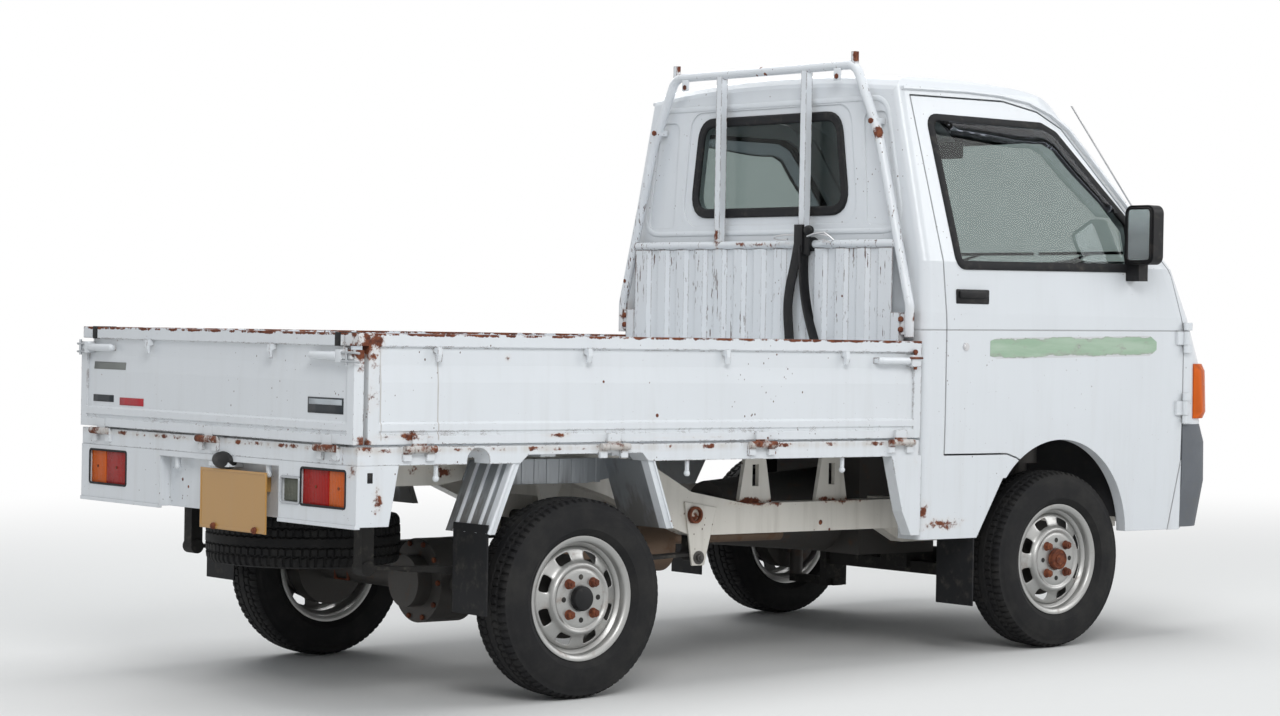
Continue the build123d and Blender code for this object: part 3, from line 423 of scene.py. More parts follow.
def enamel(name, colour, spots=(), specks=0.5, grime=0.3, soften=0.003, chips=0.5, place="cab"):
    """Old enamel on sheet steel: mottling, grime streaks that are heavier lower down, where they also paint the
    shade under the body, painted shade in corners and creases, chipped edges, specks and patches of rust; grime
    sets both the streaks and the painted shade.
    """
    finish = Finish(name)
    x, y, z = finish.axes()
    broad = finish.noise(3.0, 3)
    streaks = finish.noise(1, 4, 0.6, finish.stretched((28, 28, 2.2)))
    # Darker towards the bottom: the grime streaks are weighted low down, where they also stand in for painted
    # shade under the body
    low_down = z.rise(0.95, 0.35)
    dirt_and_low_shade = (streaks.rise(0.45, 0.8) * (0.25 + low_down * 0.75) * grime).clamp()
    # Painted shade: ambient occlusion darkens the paint in corners and creases, scaled by grime
    creases = finish.corners(0.03).rise(0.75, 0.2) * grime
    wet = finish.noise(140, 3, 0.6)
    tint = finish.mix(broad.rise(0.3, 0.7) * 0.35, colour, [channel * 0.93 for channel in colour])
    # Grime streaks and the painted shade both turn the paint this grey-brown
    tint = finish.mix((dirt_and_low_shade * 0.55 + creases * 0.8).clamp(), tint, (0.34, 0.31, 0.26))
    patchy = finish.noise(19, 5, 0.68)
    seam = sill_seam(x, z)
    crease = cab_crease(x, y, z)
    tint = finish.mix((seam * streaks.rise(0.3, 0.7) * grime * 1.6).clamp(), tint, (0.42, 0.36, 0.28))
    # Painted shade: the crease along the cab's sides is darkened as if shadowed, on top of its bump
    tint = finish.mix(crease * 0.6, tint, (0.16, 0.16, 0.165))
    if place == "bed":
        hinge = hinge_seam(x, y, z)
        tint = finish.mix(weld_lines(x, y, z) * (0.25 + patchy * 0.5), tint, (0.30, 0.24, 0.19))
        tint = finish.mix(hinge * 0.45, tint, (0.30, 0.22, 0.15))
        scuffs = finish.noise(1, 5, 0.7, finish.stretched((3.0, 26, 14)))
        scraped = bed_inside(x, y, z) * (scuffs * 0.45 + patchy * 0.25 + broad * 0.4).rise(0.48, 0.72)
        tint = finish.mix(scraped * 0.6, tint, (0.30, 0.275, 0.24))
        dirt_and_low_shade = (dirt_and_low_shade + scraped * 0.6).clamp()
    speck_size = finish.noise(7, 2).rise(0.56, 0.74) * 0.16 * specks
    mask = (finish.cells(26) - speck_size).rise(0.035, 0.0)
    small = finish.noise(2.6, 3).rise(0.46, 0.62) * finish.noise(31, 1).rise(0.42, 0.72) * 0.17 * specks
    nicks = (finish.cells(1, finish.stretched((75, 75, 48))) - small).rise(0.05, 0.0)
    if place == "panel":
        dashes = finish.noise(1, 4, 0.7, finish.stretched((110, 110, 13)))
        nicks = nicks.highest((dashes * 0.7 + broad * 0.35).rise(0.648, 0.672))
    if spots:
        reach = seam
        for point, size, strength in spots:
            reach = reach.highest(finish.near(point, size) * strength)
        mask = mask.highest((patchy + reach * 0.62).rise(0.86, 0.95))
        bleed = (patchy * 0.6 + reach * 0.62).rise(0.52, 1.0) * 0.5
        tint = finish.mix(bleed, tint, (0.55, 0.36, 0.2))
    if chips:
        torn = finish.noise(1, 5, 0.7, finish.stretched((44, 44, 30)))
        edge = finish.edges(0.006).rise(0.01, 0.16)
        chipped = edge * 0.30 * chips + torn * 0.55 + broad * 0.25
        nicks = nicks.highest(chipped.rise(0.70, 0.76) * edge.rise(0.1, 0.3))
    if place == "bed":
        top = z.rise(*RAIL_TOP)
        mask = mask.highest(top * (patchy * 0.75 + broad * 0.3 + wet * 0.1).rise(0.49, 0.56))
        mask = mask.highest(hinge * (patchy * 0.9 + wet * 0.2).rise(0.50, 0.62))
        lip = z.rise(*RAIL_LIP)
        mask = mask.highest((patchy * 0.8 + lip * 0.25 + broad * 0.1).rise(0.66, 0.70) * lip.rise(0.2, 0.7))
    tint = finish.mix(nicks, tint, (0.085, 0.035, 0.022))
    shade = finish.mix(mask, tint, rust_colour(finish))
    height = mask * (wet * 0.7 + 0.3) + broad * 0.05 - nicks * 0.3 - crease * 0.8
    return finish.surface(
        Base_Color=shade,
        Roughness=(0.32 + mask * 0.5 + dirt_and_low_shade * 0.25 + wet * 0.04 + nicks * 0.3).clamp(),
        Coat_Weight=(0.25 - mask * 0.25).clamp(),
        Normal=finish.bump(height, 0.0015, 0.5, soften),
    )


def plastic(name, colour, grain=900, roughness=0.5, fade=0.2, soften=0.002, dust=0.25):
    """Moulded plastic or rubber with a fine grain, faded and dusty in patches."""
    finish = Finish(name)
    patches = finish.noise(9, 4)
    fine = finish.noise(grain, 2)
    pale = [min(1, channel * 1.35 + 0.01) for channel in colour]
    shade = finish.mix(patches.rise(0.35, 0.75) * fade, colour, pale)
    settled = finish.noise(30, 4, 0.65).rise(0.5, 0.85) * dust
    shade = finish.mix(settled, shade, (0.20, 0.18, 0.15))
    finish.shader.inputs["Specular IOR Level"].default_value = 0.25
    return finish.surface(
        Base_Color=shade,
        Roughness=(roughness + fine * 0.12 + settled * 0.3).clamp(),
        Normal=finish.bump(fine, 0.0004, 0.5, soften),
    )


def metal(name, colour, roughness, stain, metallic=1.0):
    """Bare or silvered metal with stains."""
    finish = Finish(name)
    patches = finish.noise(22, 5, 0.65)
    fine = finish.noise(220, 3)
    mask = patches.rise(0.55, 0.8) * stain
    shade = finish.mix(mask, colour, (0.16, 0.075, 0.035))
    shade = finish.mix(fine.rise(0.4, 0.8) * 0.15, shade, [channel * 0.7 for channel in colour])
    return finish.surface(
        Base_Color=shade,
        Metallic=(metallic - mask * 0.8).clamp(),
        Roughness=(roughness + mask * 0.45 + fine * 0.1).clamp(),
        Normal=finish.bump(patches * 0.4 + fine * 0.6, 0.0006, 0.5),
    )


def rusty(name):
    """Steel rusted all over."""
    finish = Finish(name)
    grain = finish.noise(90, 5, 0.7)
    return finish.surface(
        Base_Color=rust_colour(finish),
        Roughness=(0.75 + grain * 0.2).clamp(),
        Normal=finish.bump(grain, 0.0015, 0.8),
    )


def glass(name, colour):
    """Clear glass, tinted, with dust gathered in patches."""
    finish = Finish(name)
    dust = finish.noise(6, 5, 0.65).rise(0.45, 0.95)
    finish.shader.inputs["Transmission Weight"].default_value = 1.0
    finish.shader.inputs["IOR"].default_value = 1.2
    finish.shader.inputs["Roughness"].default_value = 0.0
    dusty = [channel * 0.75 for channel in colour]
    return finish.surface(Base_Color=finish.mix(dust * 0.4, colour, dusty))


def lens(name, colour, ribs=160):
    """A moulded lens with fine upright ribs, a number of them to the metre."""
    finish = Finish(name)
    _, y, _ = finish.axes()
    height = abs((y * ribs).maths("FRACT") - 0.5)
    grime = finish.noise(25, 4).rise(0.5, 0.85) * 0.35
    # Painted shade: each rib is darker in its valley than on its crest
    shade = finish.mix(height * 1.2, [channel * 0.55 for channel in colour], colour)
    shade = finish.mix(grime, shade, (0.10, 0.06, 0.04))
    finish.shader.inputs["Specular IOR Level"].default_value = 0.15
    return finish.surface(
        Base_Color=shade,
        Roughness=(0.25 + grime * 0.5).clamp(),
        Normal=finish.bump(height, 0.0012, 0.8),
    )


def tyre_rubber(name):
    """Black rubber, greyed by road dust in patches."""
    finish = Finish(name)
    patches = finish.noise(14, 4, 0.6)
    fine = finish.noise(400, 3)
    shade = finish.mix(patches.rise(0.35, 0.75) * 0.6, (0.011, 0.011, 0.012), (0.030, 0.029, 0.027))
    finish.shader.inputs["Specular IOR Level"].default_value = 0.25
    return finish.surface(
        Base_Color=shade,
        Roughness=(0.68 + fine * 0.2).clamp(),
        Normal=finish.bump(fine, 0.0006, 0.6),
    )


def mudguard_sheet(name, colour):
    """Zinc sheet, dirty low down, with a painted outer fold."""
    finish = Finish(name)
    _, y, z = finish.axes()
    painted = abs(y).rise(0.660, 0.664)
    streaks = finish.noise(1, 4, 0.6, finish.stretched((30, 30, 3)))
    mud = (streaks + z.rise(0.62, 0.44) * 0.4).rise(0.55, 0.9) * 0.7
    grey = finish.mix(mud, (0.36, 0.38, 0.40), (0.10, 0.085, 0.07))
    shade = finish.mix(painted * (1 - mud * 0.3), grey, colour)
    return finish.surface(
        Base_Color=shade,
        Metallic=((1 - painted) * (1 - mud) * 0.7).clamp(),
        Roughness=(0.38 + mud * 0.4).clamp(),
        Normal=finish.bump(streaks, 0.0008, 0.4, 0.002),
    )


def cloth(name, colour):
    """Grained vinyl with soft creases."""
    finish = Finish(name)
    grain = finish.cells(420)
    folds = finish.noise(7, 3)
    shade = finish.mix(folds.rise(0.3, 0.7) * 0.4, colour, [channel * 0.75 for channel in colour])
    return finish.surface(
        Base_Color=shade,
        Roughness=(0.5 + grain * 0.3).clamp(),
        Normal=finish.bump(grain * 0.5 + folds, 0.001, 0.6),
    )


# The doors' band: its rise to the front, the height of its middle line at x = 0, and its two ends
BAND_SLOPE = 0.0200
BAND_FOOT = 0.9092
BAND_ENDS = (1.489, 2.214)


def worn_band(name, colour):
    """A stuck-on band, faded, grey at its edges and flaked away along its lower side."""
    finish = Finish(name)
    x, _, z = finish.axes()
    place = z - x * BAND_SLOPE - BAND_FOOT
    flakes = finish.noise(38, 5, 0.7, finish.stretched((0.35, 1, 1)))
    edge = abs(place + 0.001).rise(0.021, 0.034)
    low = place.rise(-0.008, -0.031)
    age = flakes + edge * 0.28 + low * 0.10
    gone = age.rise(0.66, 0.70)
    bands = finish.noise(5, 3, 0.6, finish.stretched((1, 1, 8)))
    shade = finish.mix(bands.rise(0.35, 0.75) * 0.7, colour, (0.47, 0.58, 0.47))
    shade = finish.mix(age.rise(0.56, 0.66) * 0.6, shade, (0.36, 0.38, 0.33))
    return finish.surface(
        Base_Color=shade,
        Roughness=(0.55 + flakes * 0.2).clamp(),
        Alpha=1 - gone,
    )


class TruckSizes(bpy.types.PropertyGroup):
    """Sizes that a user may change."""

    groove_depth: FloatProperty(
        name="Groove depth", description="Depth of the tyre's grooves", default=0.0065, unit="LENGTH"
    )
    tyre_steps: IntProperty(name="Tyre steps", description="Steps round each tyre's tread", default=480)
    nut_radius: FloatProperty(
        name="Nut radius", description="Half the width of a wheel nut", default=0.0115, unit="LENGTH"
    )


class TruckColours(bpy.types.PropertyGroup):
    """Colours that a user may change."""

    body: FloatVectorProperty(
        name="Body", description="Body enamel", subtype="COLOR", default=(0.73, 0.76, 0.79)
    )
    frame: FloatVectorProperty(
        name="Frame", description="Chassis enamel", subtype="COLOR", default=(0.68, 0.65, 0.59)
    )
    bumper: FloatVectorProperty(
        name="Bumper", description="Grey plastic", subtype="COLOR", default=(0.13, 0.14, 0.155)
    )
    stripe: FloatVectorProperty(
        name="Stripe", description="Faded band on the doors", subtype="COLOR", default=(0.33, 0.47, 0.34)
    )
    plate: FloatVectorProperty(
        name="Plate", description="Blank plate", subtype="COLOR", default=(0.47, 0.25, 0.06)
    )


# Where the enamel has rusted: point, reach along x, y and z, strength
RUST_SPOTS = (
    ((-0.70, -0.69, 0.93), (0.13, 0.13, 0.11), 0.95),
    ((-0.69, -0.70, 0.80), (0.07, 0.08, 0.22), 0.55),
    ((-0.70, -0.69, 0.67), (0.12, 0.07, 0.06), 0.80),
    ((-0.10, -0.70, 0.70), (0.10, 0.03, 0.02), 1.0),
    ((-0.26, -0.70, 0.90), (0.03, 0.03, 0.04), 1.0),
    ((-0.60, -0.70, 0.70), (0.20, 0.04, 0.03), 0.8),
    ((0.30, -0.70, 0.69), (0.70, 0.05, 0.02), 0.55),
    ((0.20, -0.67, 0.965), (0.95, 0.06, 0.02), 0.70),
    ((0.20, 0.67, 0.965), (0.95, 0.06, 0.02), 0.70),
    ((-0.71, 0.0, 0.965), (0.05, 0.70, 0.02), 0.85),
    ((1.30, -0.69, 0.43), (0.22, 0.05, 0.05), 0.8),
    ((1.20, -0.69, 0.64), (0.05, 0.05, 0.25), 0.55),
    ((-0.66, -0.70, 0.55), (0.05, 0.05, 0.10), 0.7),
    ((1.20, -0.66, 1.02), (0.04, 0.04, 0.10), 1.0),
    ((1.20, 0.66, 1.02), (0.04, 0.04, 0.10), 1.0),
    ((1.19, -0.52, 1.56), (0.04, 0.06, 0.06), 0.9),
    ((1.19, 0.0, 1.24), (0.05, 0.60, 0.025), 0.65),
    ((-0.74, 0.0, 0.652), (0.05, 0.72, 0.035), 0.50),
    ((0.20, -0.70, 0.655), (0.95, 0.05, 0.022), 0.50),
    ((-0.74, -0.25, 0.475), (0.04, 0.10, 0.03), 0.60),
    ((-0.72, -0.68, 0.62), (0.05, 0.06, 0.09), 0.85),
    ((1.20, -0.30, 1.735), (0.04, 0.04, 0.04), 1.0),
    ((1.20, 0.39, 1.80), (0.05, 0.04, 0.05), 1.1),
    ((1.20, -0.42, 1.80), (0.05, 0.04, 0.05), 1.1),
    ((1.24, -0.68, 0.46), (0.06, 0.08, 0.16), 0.70),
    ((1.19, 0.19, 1.25), (0.03, 0.03, 0.09), 0.95),
    ((1.19, -0.05, 1.767), (0.04, 0.45, 0.03), 0.50),
)


def build_finishes(colours):
    """Every material of the truck by name."""
    frame_spots = [((x, y, 0.49), (0.22, 0.2, 0.03), 0.9) for x in (0.8, 1.15) for y in (-0.43, 0.43)]
    frame_spots += [((0.570, side * 0.45, 0.450), (0.075, 0.06, 0.055), 0.85) for side in (-1, 1)]
    frame_spots += [((x, y, 0.60), (0.3, 0.2, 0.05), 0.7) for x in (-0.3, 0.2) for y in (-0.43, 0.43)]
    FINISHES.update({
        "white_paint": enamel("white enamel", colours.body, RUST_SPOTS, 0.7),
        "bed_paint": enamel("bed enamel", colours.body, RUST_SPOTS, 0.8, 0.35, 0.003, 1.0, "bed"),
        "panel_paint": enamel("guard enamel", colours.body, RUST_SPOTS, 1.0, 0.3, 0.003, 1.15, "panel"),
        "mudguard_paint": mudguard_sheet("mudguard sheet", colours.body),
        # The chassis takes the most grime: grime streaks and painted shade, darker lower down and in its corners
        "frame_paint": enamel("chassis enamel", colours.frame, frame_spots, 1.4, 0.7),
        "dark_paint": plastic("dark floor paint", (0.07, 0.07, 0.075), 300, 0.5),
        "chassis_black": plastic("underside black", (0.022, 0.021, 0.02), 200, 0.65, 0.4, 0.002, 0.5),
        "cast_metal": metal("cast metal", (0.09, 0.085, 0.08), 0.55, 0.6, 0.6),
        "exhaust_steel": metal("heated steel", (0.20, 0.14, 0.10), 0.55, 0.8, 0.7),
        "bare_metal": metal("bright rod", (0.62, 0.62, 0.63), 0.25, 0.2),
        "wheel_paint": metal("wheel silver", (0.40, 0.40, 0.39), 0.33, 0.55, 0.75),
        "plate_paint": enamel("plate ochre", colours.plate, (), 0.1, 0.1, 0.0, 0.0),
        "tyre_rubber": tyre_rubber("tyre black"),
        "black_rubber": plastic("flap rubber", (0.010, 0.0105, 0.012), 400, 0.6),
        "grey_plastic": plastic("bumper grey", colours.bumper, 700, 0.55, 0.35),
        "strap_rubber": plastic("strap rubber", (0.006, 0.006, 0.007), 300, 0.35, 0.3, 0.0, 0.12),
        "black_plastic": plastic("trim black", (0.008, 0.008, 0.009), 900, 0.42, 0.3),
        "dash_plastic": plastic("dash grey", (0.06, 0.06, 0.063), 900, 0.5),
        "lamp_plastic": lens("clear lens", (0.75, 0.77, 0.78)),
        "tail_lens": lens("red lens", (0.50, 0.010, 0.006), 140),
        "seat_vinyl": cloth("seat vinyl", (0.115, 0.050, 0.034)),
        "clear_glass": glass("window glass", (0.44, 0.49, 0.48)),
        "amber": lens("amber lens", (0.86, 0.150, 0.008), 140),
        "rust": rusty("rusted steel"),
        "zinc": metal("zinc sheet", (0.42, 0.44, 0.46), 0.42, 0.25, 0.8),
        "grey_lens": lens("grey lens", (0.16, 0.17, 0.13), 140),
        "smoked": glass("smoked visor", (0.34, 0.36, 0.40)),
        "mirror": metal("mirror glass", (0.72, 0.75, 0.78), 0.06, 0.08),
        "green_band": worn_band("faded green", colours.stripe),
        "sticker_grey": plastic("grey sticker", (0.20, 0.21, 0.20), 500, 0.45, 0.3, 0.0),
        "sticker_dark": plastic("dark sticker", (0.025, 0.03, 0.035), 500, 0.4, 0.3, 0.0),
        "sticker_red": plastic("red sticker", (0.42, 0.035, 0.045), 500, 0.45, 0.3, 0.0),
        "sticker_pale": plastic("pale sticker", (0.48, 0.52, 0.55), 500, 0.45, 0.2, 0.0),
    })


# Drawn nodes whose wear differs from the rest of their paint
OWN_FINISH = {
    "deck_floor": "bed_paint",
    "side_gate_left": "bed_paint",
    "side_gate_right": "bed_paint",
    "tailgate": "bed_paint",
    "guard_panel": "panel_paint",
    "guard_frame": "panel_paint",
    "rear_mudguards": "mudguard_paint",
}


class TRUCK_OT_finishes(bpy.types.Operator):
    """Make every finish and give it to the drawn nodes"""

    bl_idname = "truck.finishes"
    bl_label = "Finishes"

    def execute(self, context):
        build_finishes(context.scene.truck_colours)
        for part in RECORD["subparts"]:
            data = NODES[part["node"]].data
            data.materials.clear()
            data.materials.append(FINISHES[OWN_FINISH.get(part["node"], part["material_slot"])])
        return {"FINISHED"}


# The spare wheel's middle in the level drawing, hung under the bed
SPARE_MIDDLE = Vector((-0.392, 0.060, 0.395))


def wheel_place(end, side):
    """The middle of a wheel, its z axis pointing out along the axle."""
    middle = Vector(JOINTS[f"wheel_{end}_{side}_spin"]["pos_m"])
    turn = Matrix.Rotation(-SIDES[side] * math.pi / 2, 4, "X")
    return Matrix.Translation(middle) @ turn


def spare_place():
    """The middle of the spare wheel, its outside up."""
    low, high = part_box("spare_wheel")
    middle = LEVEL @ SPARE_MIDDLE
    middle.x = (low.x + high.x) / 2
    return Matrix.Translation(middle) @ LEVEL.to_3x3().to_4x4()


# The tyre's flank from bead to shoulder: distance from the middle, radius
FLANK = (
    (0.0500, 0.1535), (0.0535, 0.1600), (0.0575, 0.1680), (0.0640, 0.1720), (0.0690, 0.1820),
    (0.0715, 0.1840), (0.0715, 0.1860), (0.0722, 0.1960), (0.0728, 0.2100), (0.0715, 0.2230),
    (0.0690, 0.2340), (0.0690, 0.2355), (0.0672, 0.2400), (0.0650, 0.2460),
)


BEAD_Y, BEAD_RADIUS = FLANK[0]
TREAD_EDGE = 0.0648
CROWN_RADIUS = 0.2655
SHOULDER_DROP = 0.0065
PITCHES = 76
# Grooves on each half of the tread: place across, half width
GROOVES = ((0.0125, 0.0026), (0.0360, 0.0030))
GROOVE_WAVE = 0.0022


def tread_radius(y, turn, depth):
    """The tread's radius at a place across and round it: crown, four grooves and cuts between."""
    crown = CROWN_RADIUS - 1.0 * y * y
    shoulder = np.clip((np.abs(y) - 0.052) / 0.013, 0, 1)
    radius = crown - SHOULDER_DROP * shoulder**2
    pitch = turn * PITCHES / (2 * math.pi)
    wave = GROOVE_WAVE * np.abs(2 * (pitch % 1) - 1) * 2
    cut = np.zeros_like(y)
    for middle, width in GROOVES:
        cut = np.maximum(cut, np.clip((width - np.abs(np.abs(y) - middle - wave)) / 0.0012, 0, 1))
    lug = (np.abs(((pitch + 0.25 * np.sign(y)) % 1) - 0.5) < 0.17) & (np.abs(y) > 0.040)
    cut = np.maximum(cut, lug * 0.85)
    sipe = (np.abs(((pitch + 0.5) % 1) - 0.5) < 0.09) & (np.abs(y) > 0.0135) & (np.abs(y) < 0.034)
    cut = np.maximum(cut, sipe * 0.7)
    return radius - depth * cut


def build_tyre(name, place, body, node, sizes):
    """A tyre with moulded flanks and a cut tread."""
    shape = Shape()
    steps = sizes.tyre_steps
    across = np.concatenate([
        [-0.0648, -0.0620, -0.0590, -0.0555, -0.0520, -0.0480, -0.0440, -0.0425],
        np.linspace(-0.0405, 0.0405, 38),
        [0.0425, 0.0440, 0.0480, 0.0520, 0.0555, 0.0590, 0.0620, 0.0648],
    ])
    turns = np.arange(steps) * 2 * math.pi / steps
    y, turn = np.meshgrid(across, turns)
    radius = tread_radius(y, turn, sizes.groove_depth)
    rows = []
    for i in range(steps):
        ring = zip(radius[i] * math.cos(turns[i]), radius[i] * math.sin(turns[i]), across)
        rows.append([place @ Vector(point) for point in ring])
    shape.grid(rows, closed_along=True)
    for side in (-1, 1):
        flank = [(side * along, r) for along, r in FLANK]
        edge = tread_radius(np.array([side * TREAD_EDGE]), np.array([0.0]), 0.0)[0]
        flank.append((side * TREAD_EDGE, edge))
        shape.lathe(flank, place, 128, closed=False)
    shape.lathe([(-BEAD_Y, BEAD_RADIUS), (BEAD_Y, BEAD_RADIUS)], place, 96, closed=False)
    made = shape.piece(name, FINISHES["tyre_rubber"], body, "tyre_rubber", level=False, smooth=0.7)
    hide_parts(node)


# The rim's turned sections: along the axle from the wheel's middle, radius
BARREL = (
    (0.0600, 0.1625), (0.0595, 0.1655), (0.0570, 0.1660), (0.0555, 0.1640), (0.0550, 0.1560),
    (0.0520, 0.1524), (0.0350, 0.1515), (0.0300, 0.1440), (0.0260, 0.1400), (-0.0180, 0.1400),
    (-0.0260, 0.1515), (-0.0520, 0.1524), (-0.0550, 0.1560), (-0.0555, 0.1650), (-0.0600, 0.1655),
    (-0.0600, 0.1610), (-0.0585, 0.1560), (-0.0560, 0.1490), (-0.0280, 0.1480), (-0.0190, 0.1365),
    (0.0240, 0.1365), (0.0290, 0.1385), (0.0350, 0.1475), (0.0530, 0.1485), (0.0575, 0.1540),
    (0.0590, 0.1590),
)
DISC = (
    (0.0300, 0.0545), (0.0360, 0.0555), (0.0420, 0.0560), (0.0560, 0.0562), (0.0700, 0.0560),
    (0.0750, 0.0550), (0.0785, 0.0530), (0.0815, 0.0545), (0.0860, 0.0585), (0.0900, 0.0590),
    (0.0940, 0.0570), (0.0990, 0.0480), (0.1030, 0.0420), (0.1270, 0.0335), (0.1310, 0.0310),
    (0.1360, 0.0270), (0.1385, 0.0180),
)
# The ring of faces between two of the disc's radii that the eight slots go through
SLOT_RING = 12
DISC_STEPS = 96
SLOTS = 8
NUT_CIRCLE = 0.057
# The rear wheels' black cap and the others' bare hub
CAP = ((0.050, 0.0335), (0.066, 0.0330), (0.071, 0.0300), (0.073, 0.0240), (0.0735, 0.0))
HUB = ((0.050, 0.0310), (0.070, 0.0305), (0.073, 0.0280), (0.070, 0.0250), (0.068, 0.0))


def disc_shell(place):
    """The pressed disc with its eight slots, as a plain grid."""
    shape = Shape()
    rows = []
    for step in range(DISC_STEPS):
        angle = 2 * math.pi * step / DISC_STEPS
        row = [(r * math.cos(angle), r * math.sin(angle), along) for r, along in DISC]
        rows.append([place @ Vector(point) for point in row])
    verts = [[shape.mesh.verts.new(point) for point in row] for row in rows]
    for i in range(DISC_STEPS):
        in_slot = 3 <= i % (DISC_STEPS // SLOTS) <= 8
        for j in range(len(DISC) - 1):
            if in_slot and j == SLOT_RING:
                continue
            a, b = verts[i], verts[(i + 1) % DISC_STEPS]
            shape.mesh.faces.new((a[j], a[j + 1], b[j + 1], b[j]))
    return shape


def thicken(made, thickness):
    """Give a sheet a thickness."""
    solid = made.modifiers.new("thickness", "SOLIDIFY")
    solid.thickness = thickness
    solid.offset = -1


def build_rim(name, place, body, node, sizes, cap):
    """A pressed steel wheel: barrel, slotted disc, nuts, black discs painted as the shade in each hole between
    them, and a cap or a bare hub.
    """
    shape = Shape()
    shape.lathe(BARREL, place, 96)
    barrel = shape.piece(name, FINISHES["wheel_paint"], body, "wheel_paint", level=False, smooth=0.9)
    if node:
        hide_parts(node)
    disc = disc_shell(place).piece(name + "_disc", FINISHES["wheel_paint"], body, "wheel_paint", False, 3.0)
    thicken(disc, 0.0035)
    rounding = disc.modifiers.new("rounding", "SUBSURF")
    rounding.levels = 1
    rounding.render_levels = 1
    nuts = Shape()
    hole_shade = Shape()
    for index in range(4):
        angle = math.pi / 4 + index * math.pi / 2
        x, y = NUT_CIRCLE * math.cos(angle), NUT_CIRCLE * math.sin(angle)
        nuts.rod(place @ Vector((x, y, 0.0555)), place @ Vector((x, y, 0.0585)), 0.0145, 20, 0.0130)
        nuts.rod(place @ Vector((x, y, 0.058)), place @ Vector((x, y, 0.072)), sizes.nut_radius, 6)
        nuts.rod(place @ Vector((x, y, 0.071)), place @ Vector((x, y, 0.0755)), 0.0058, 12)
        angle += math.pi / 4
        x, y = NUT_CIRCLE * math.cos(angle), NUT_CIRCLE * math.sin(angle)
        # Painted shade: a thin black disc stands in for each hole between the nuts and the shade inside it
        hole_shade.rod(place @ Vector((x, y, 0.0550)), place @ Vector((x, y, 0.0568)), 0.0072, 20)
    nuts.soften(0.0012)
    nuts.piece(name + "_nuts", FINISHES["rust"], body, "wheel_paint", False)
    hole_shade.piece(name + "_holes", FINISHES["chassis_black"], body, "chassis_black", False)
    hub = Shape().lathe(CAP if cap else HUB, place, 48, False)
    if cap:
        hub.piece(name + "_cap", FINISHES["black_plastic"], body, "black_plastic", False)
    else:
        hub.rod(place @ Vector((0, 0, 0.066)), place @ Vector((0, 0, 0.074)), 0.0165, 6)
        hub.piece(name + "_cap", FINISHES["rust"], body, "wheel_paint", False)


# The strap's two ends, from the knot down into the bed, in the level drawing
STRAP_ROUTES = {
    "strap_left": (
        (1.1680, -0.205, 1.235), (1.1685, -0.192, 1.180), (1.1680, -0.170, 1.110), (1.1680, -0.162, 1.045),
        (1.1680, -0.172, 0.965), (1.1655, -0.184, 0.880), (1.1620, -0.192, 0.800), (1.1580, -0.196, 0.735),
    ),
    "strap_right": (
        (1.1750, -0.222, 1.235), (1.1750, -0.222, 1.170), (1.1750, -0.227, 1.110), (1.1745, -0.243, 1.040),
        (1.1720, -0.276, 0.965), (1.1670, -0.312, 0.890), (1.1620, -0.340, 0.810), (1.1580, -0.356, 0.735),
    ),
}
STRAP_EDGE = 0.0030
STRAP_FLAT = 0.0155
# The single wire hook on the knot's left
NEAR_HOOK = (
    (1.165, -0.190, 1.266), (1.161, -0.150, 1.267), (1.159, -0.118, 1.264), (1.161, -0.102, 1.258),
    (1.162, -0.120, 1.252), (1.166, -0.160, 1.254),
)
HOOK_WIRE = 0.0026


class TRUCK_OT_strap(bpy.types.Operator):
    """Make the black rubber strap knotted round the guard's lower bar, its two ends hanging into the bed"""

    bl_idname = "truck.strap"
    bl_label = "Rubber strap"

    def execute(self, context):
        wrap = Shape()
        wrap.tube([(1.1955, -0.249, 1.240), (1.1955, -0.184, 1.2405)], 0.0215, 24)
        wrap.box((1.168, -0.247, 1.204), (1.1840, -0.188, 1.290)).soften(0.007, 3)
        wrap.box((1.161, -0.228, 1.214), (1.1720, -0.192, 1.298)).soften(0.005, 3)
        wrap.ball((1.172, -0.246, 1.280), 0.021, (0.55, 1.0, 0.75), 10)
        wrap.piece("strap_knot", FINISHES["strap_rubber"], "truck", "black_rubber")
        for name, route in STRAP_ROUTES.items():
            curve = bpy.data.curves.new(name, "CURVE")
            curve.dimensions = "3D"
            curve.resolution_u = 10
            curve.bevel_depth = STRAP_EDGE
            curve.bevel_resolution = 3
            curve.extrude = STRAP_FLAT
            curve.use_fill_caps = True
            spline = curve.splines.new("NURBS")
            spline.points.add(len(route) - 1)
            for point, place in zip(spline.points, route):
                point.co = (*(LEVEL @ Vector(place)), 1)
            spline.order_u = 3
            spline.use_endpoint_u = True
            curve.materials.append(FINISHES["strap_rubber"])
            made = bpy.data.objects.new(name, curve)
            bpy.context.scene.collection.objects.link(made)
            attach(made, "truck")
        hooks = Shape()
        for bend in (0.0, 0.007):
            path = [
                (1.170 - bend, -0.250, 1.262), (1.163 - bend, -0.285, 1.269), (1.162, -0.325, 1.266 + bend),
                (1.162, -0.352, 1.260), (1.163, -0.366, 1.251), (1.166, -0.350, 1.243),
                (1.166, -0.315, 1.245 + bend),
            ]
            hooks.tube(path, HOOK_WIRE, 10)
        hooks.tube(NEAR_HOOK, HOOK_WIRE, 10)
        hooks.piece("strap_hooks", FINISHES["bare_metal"], "truck", "bare_metal")
        return {"FINISHED"}


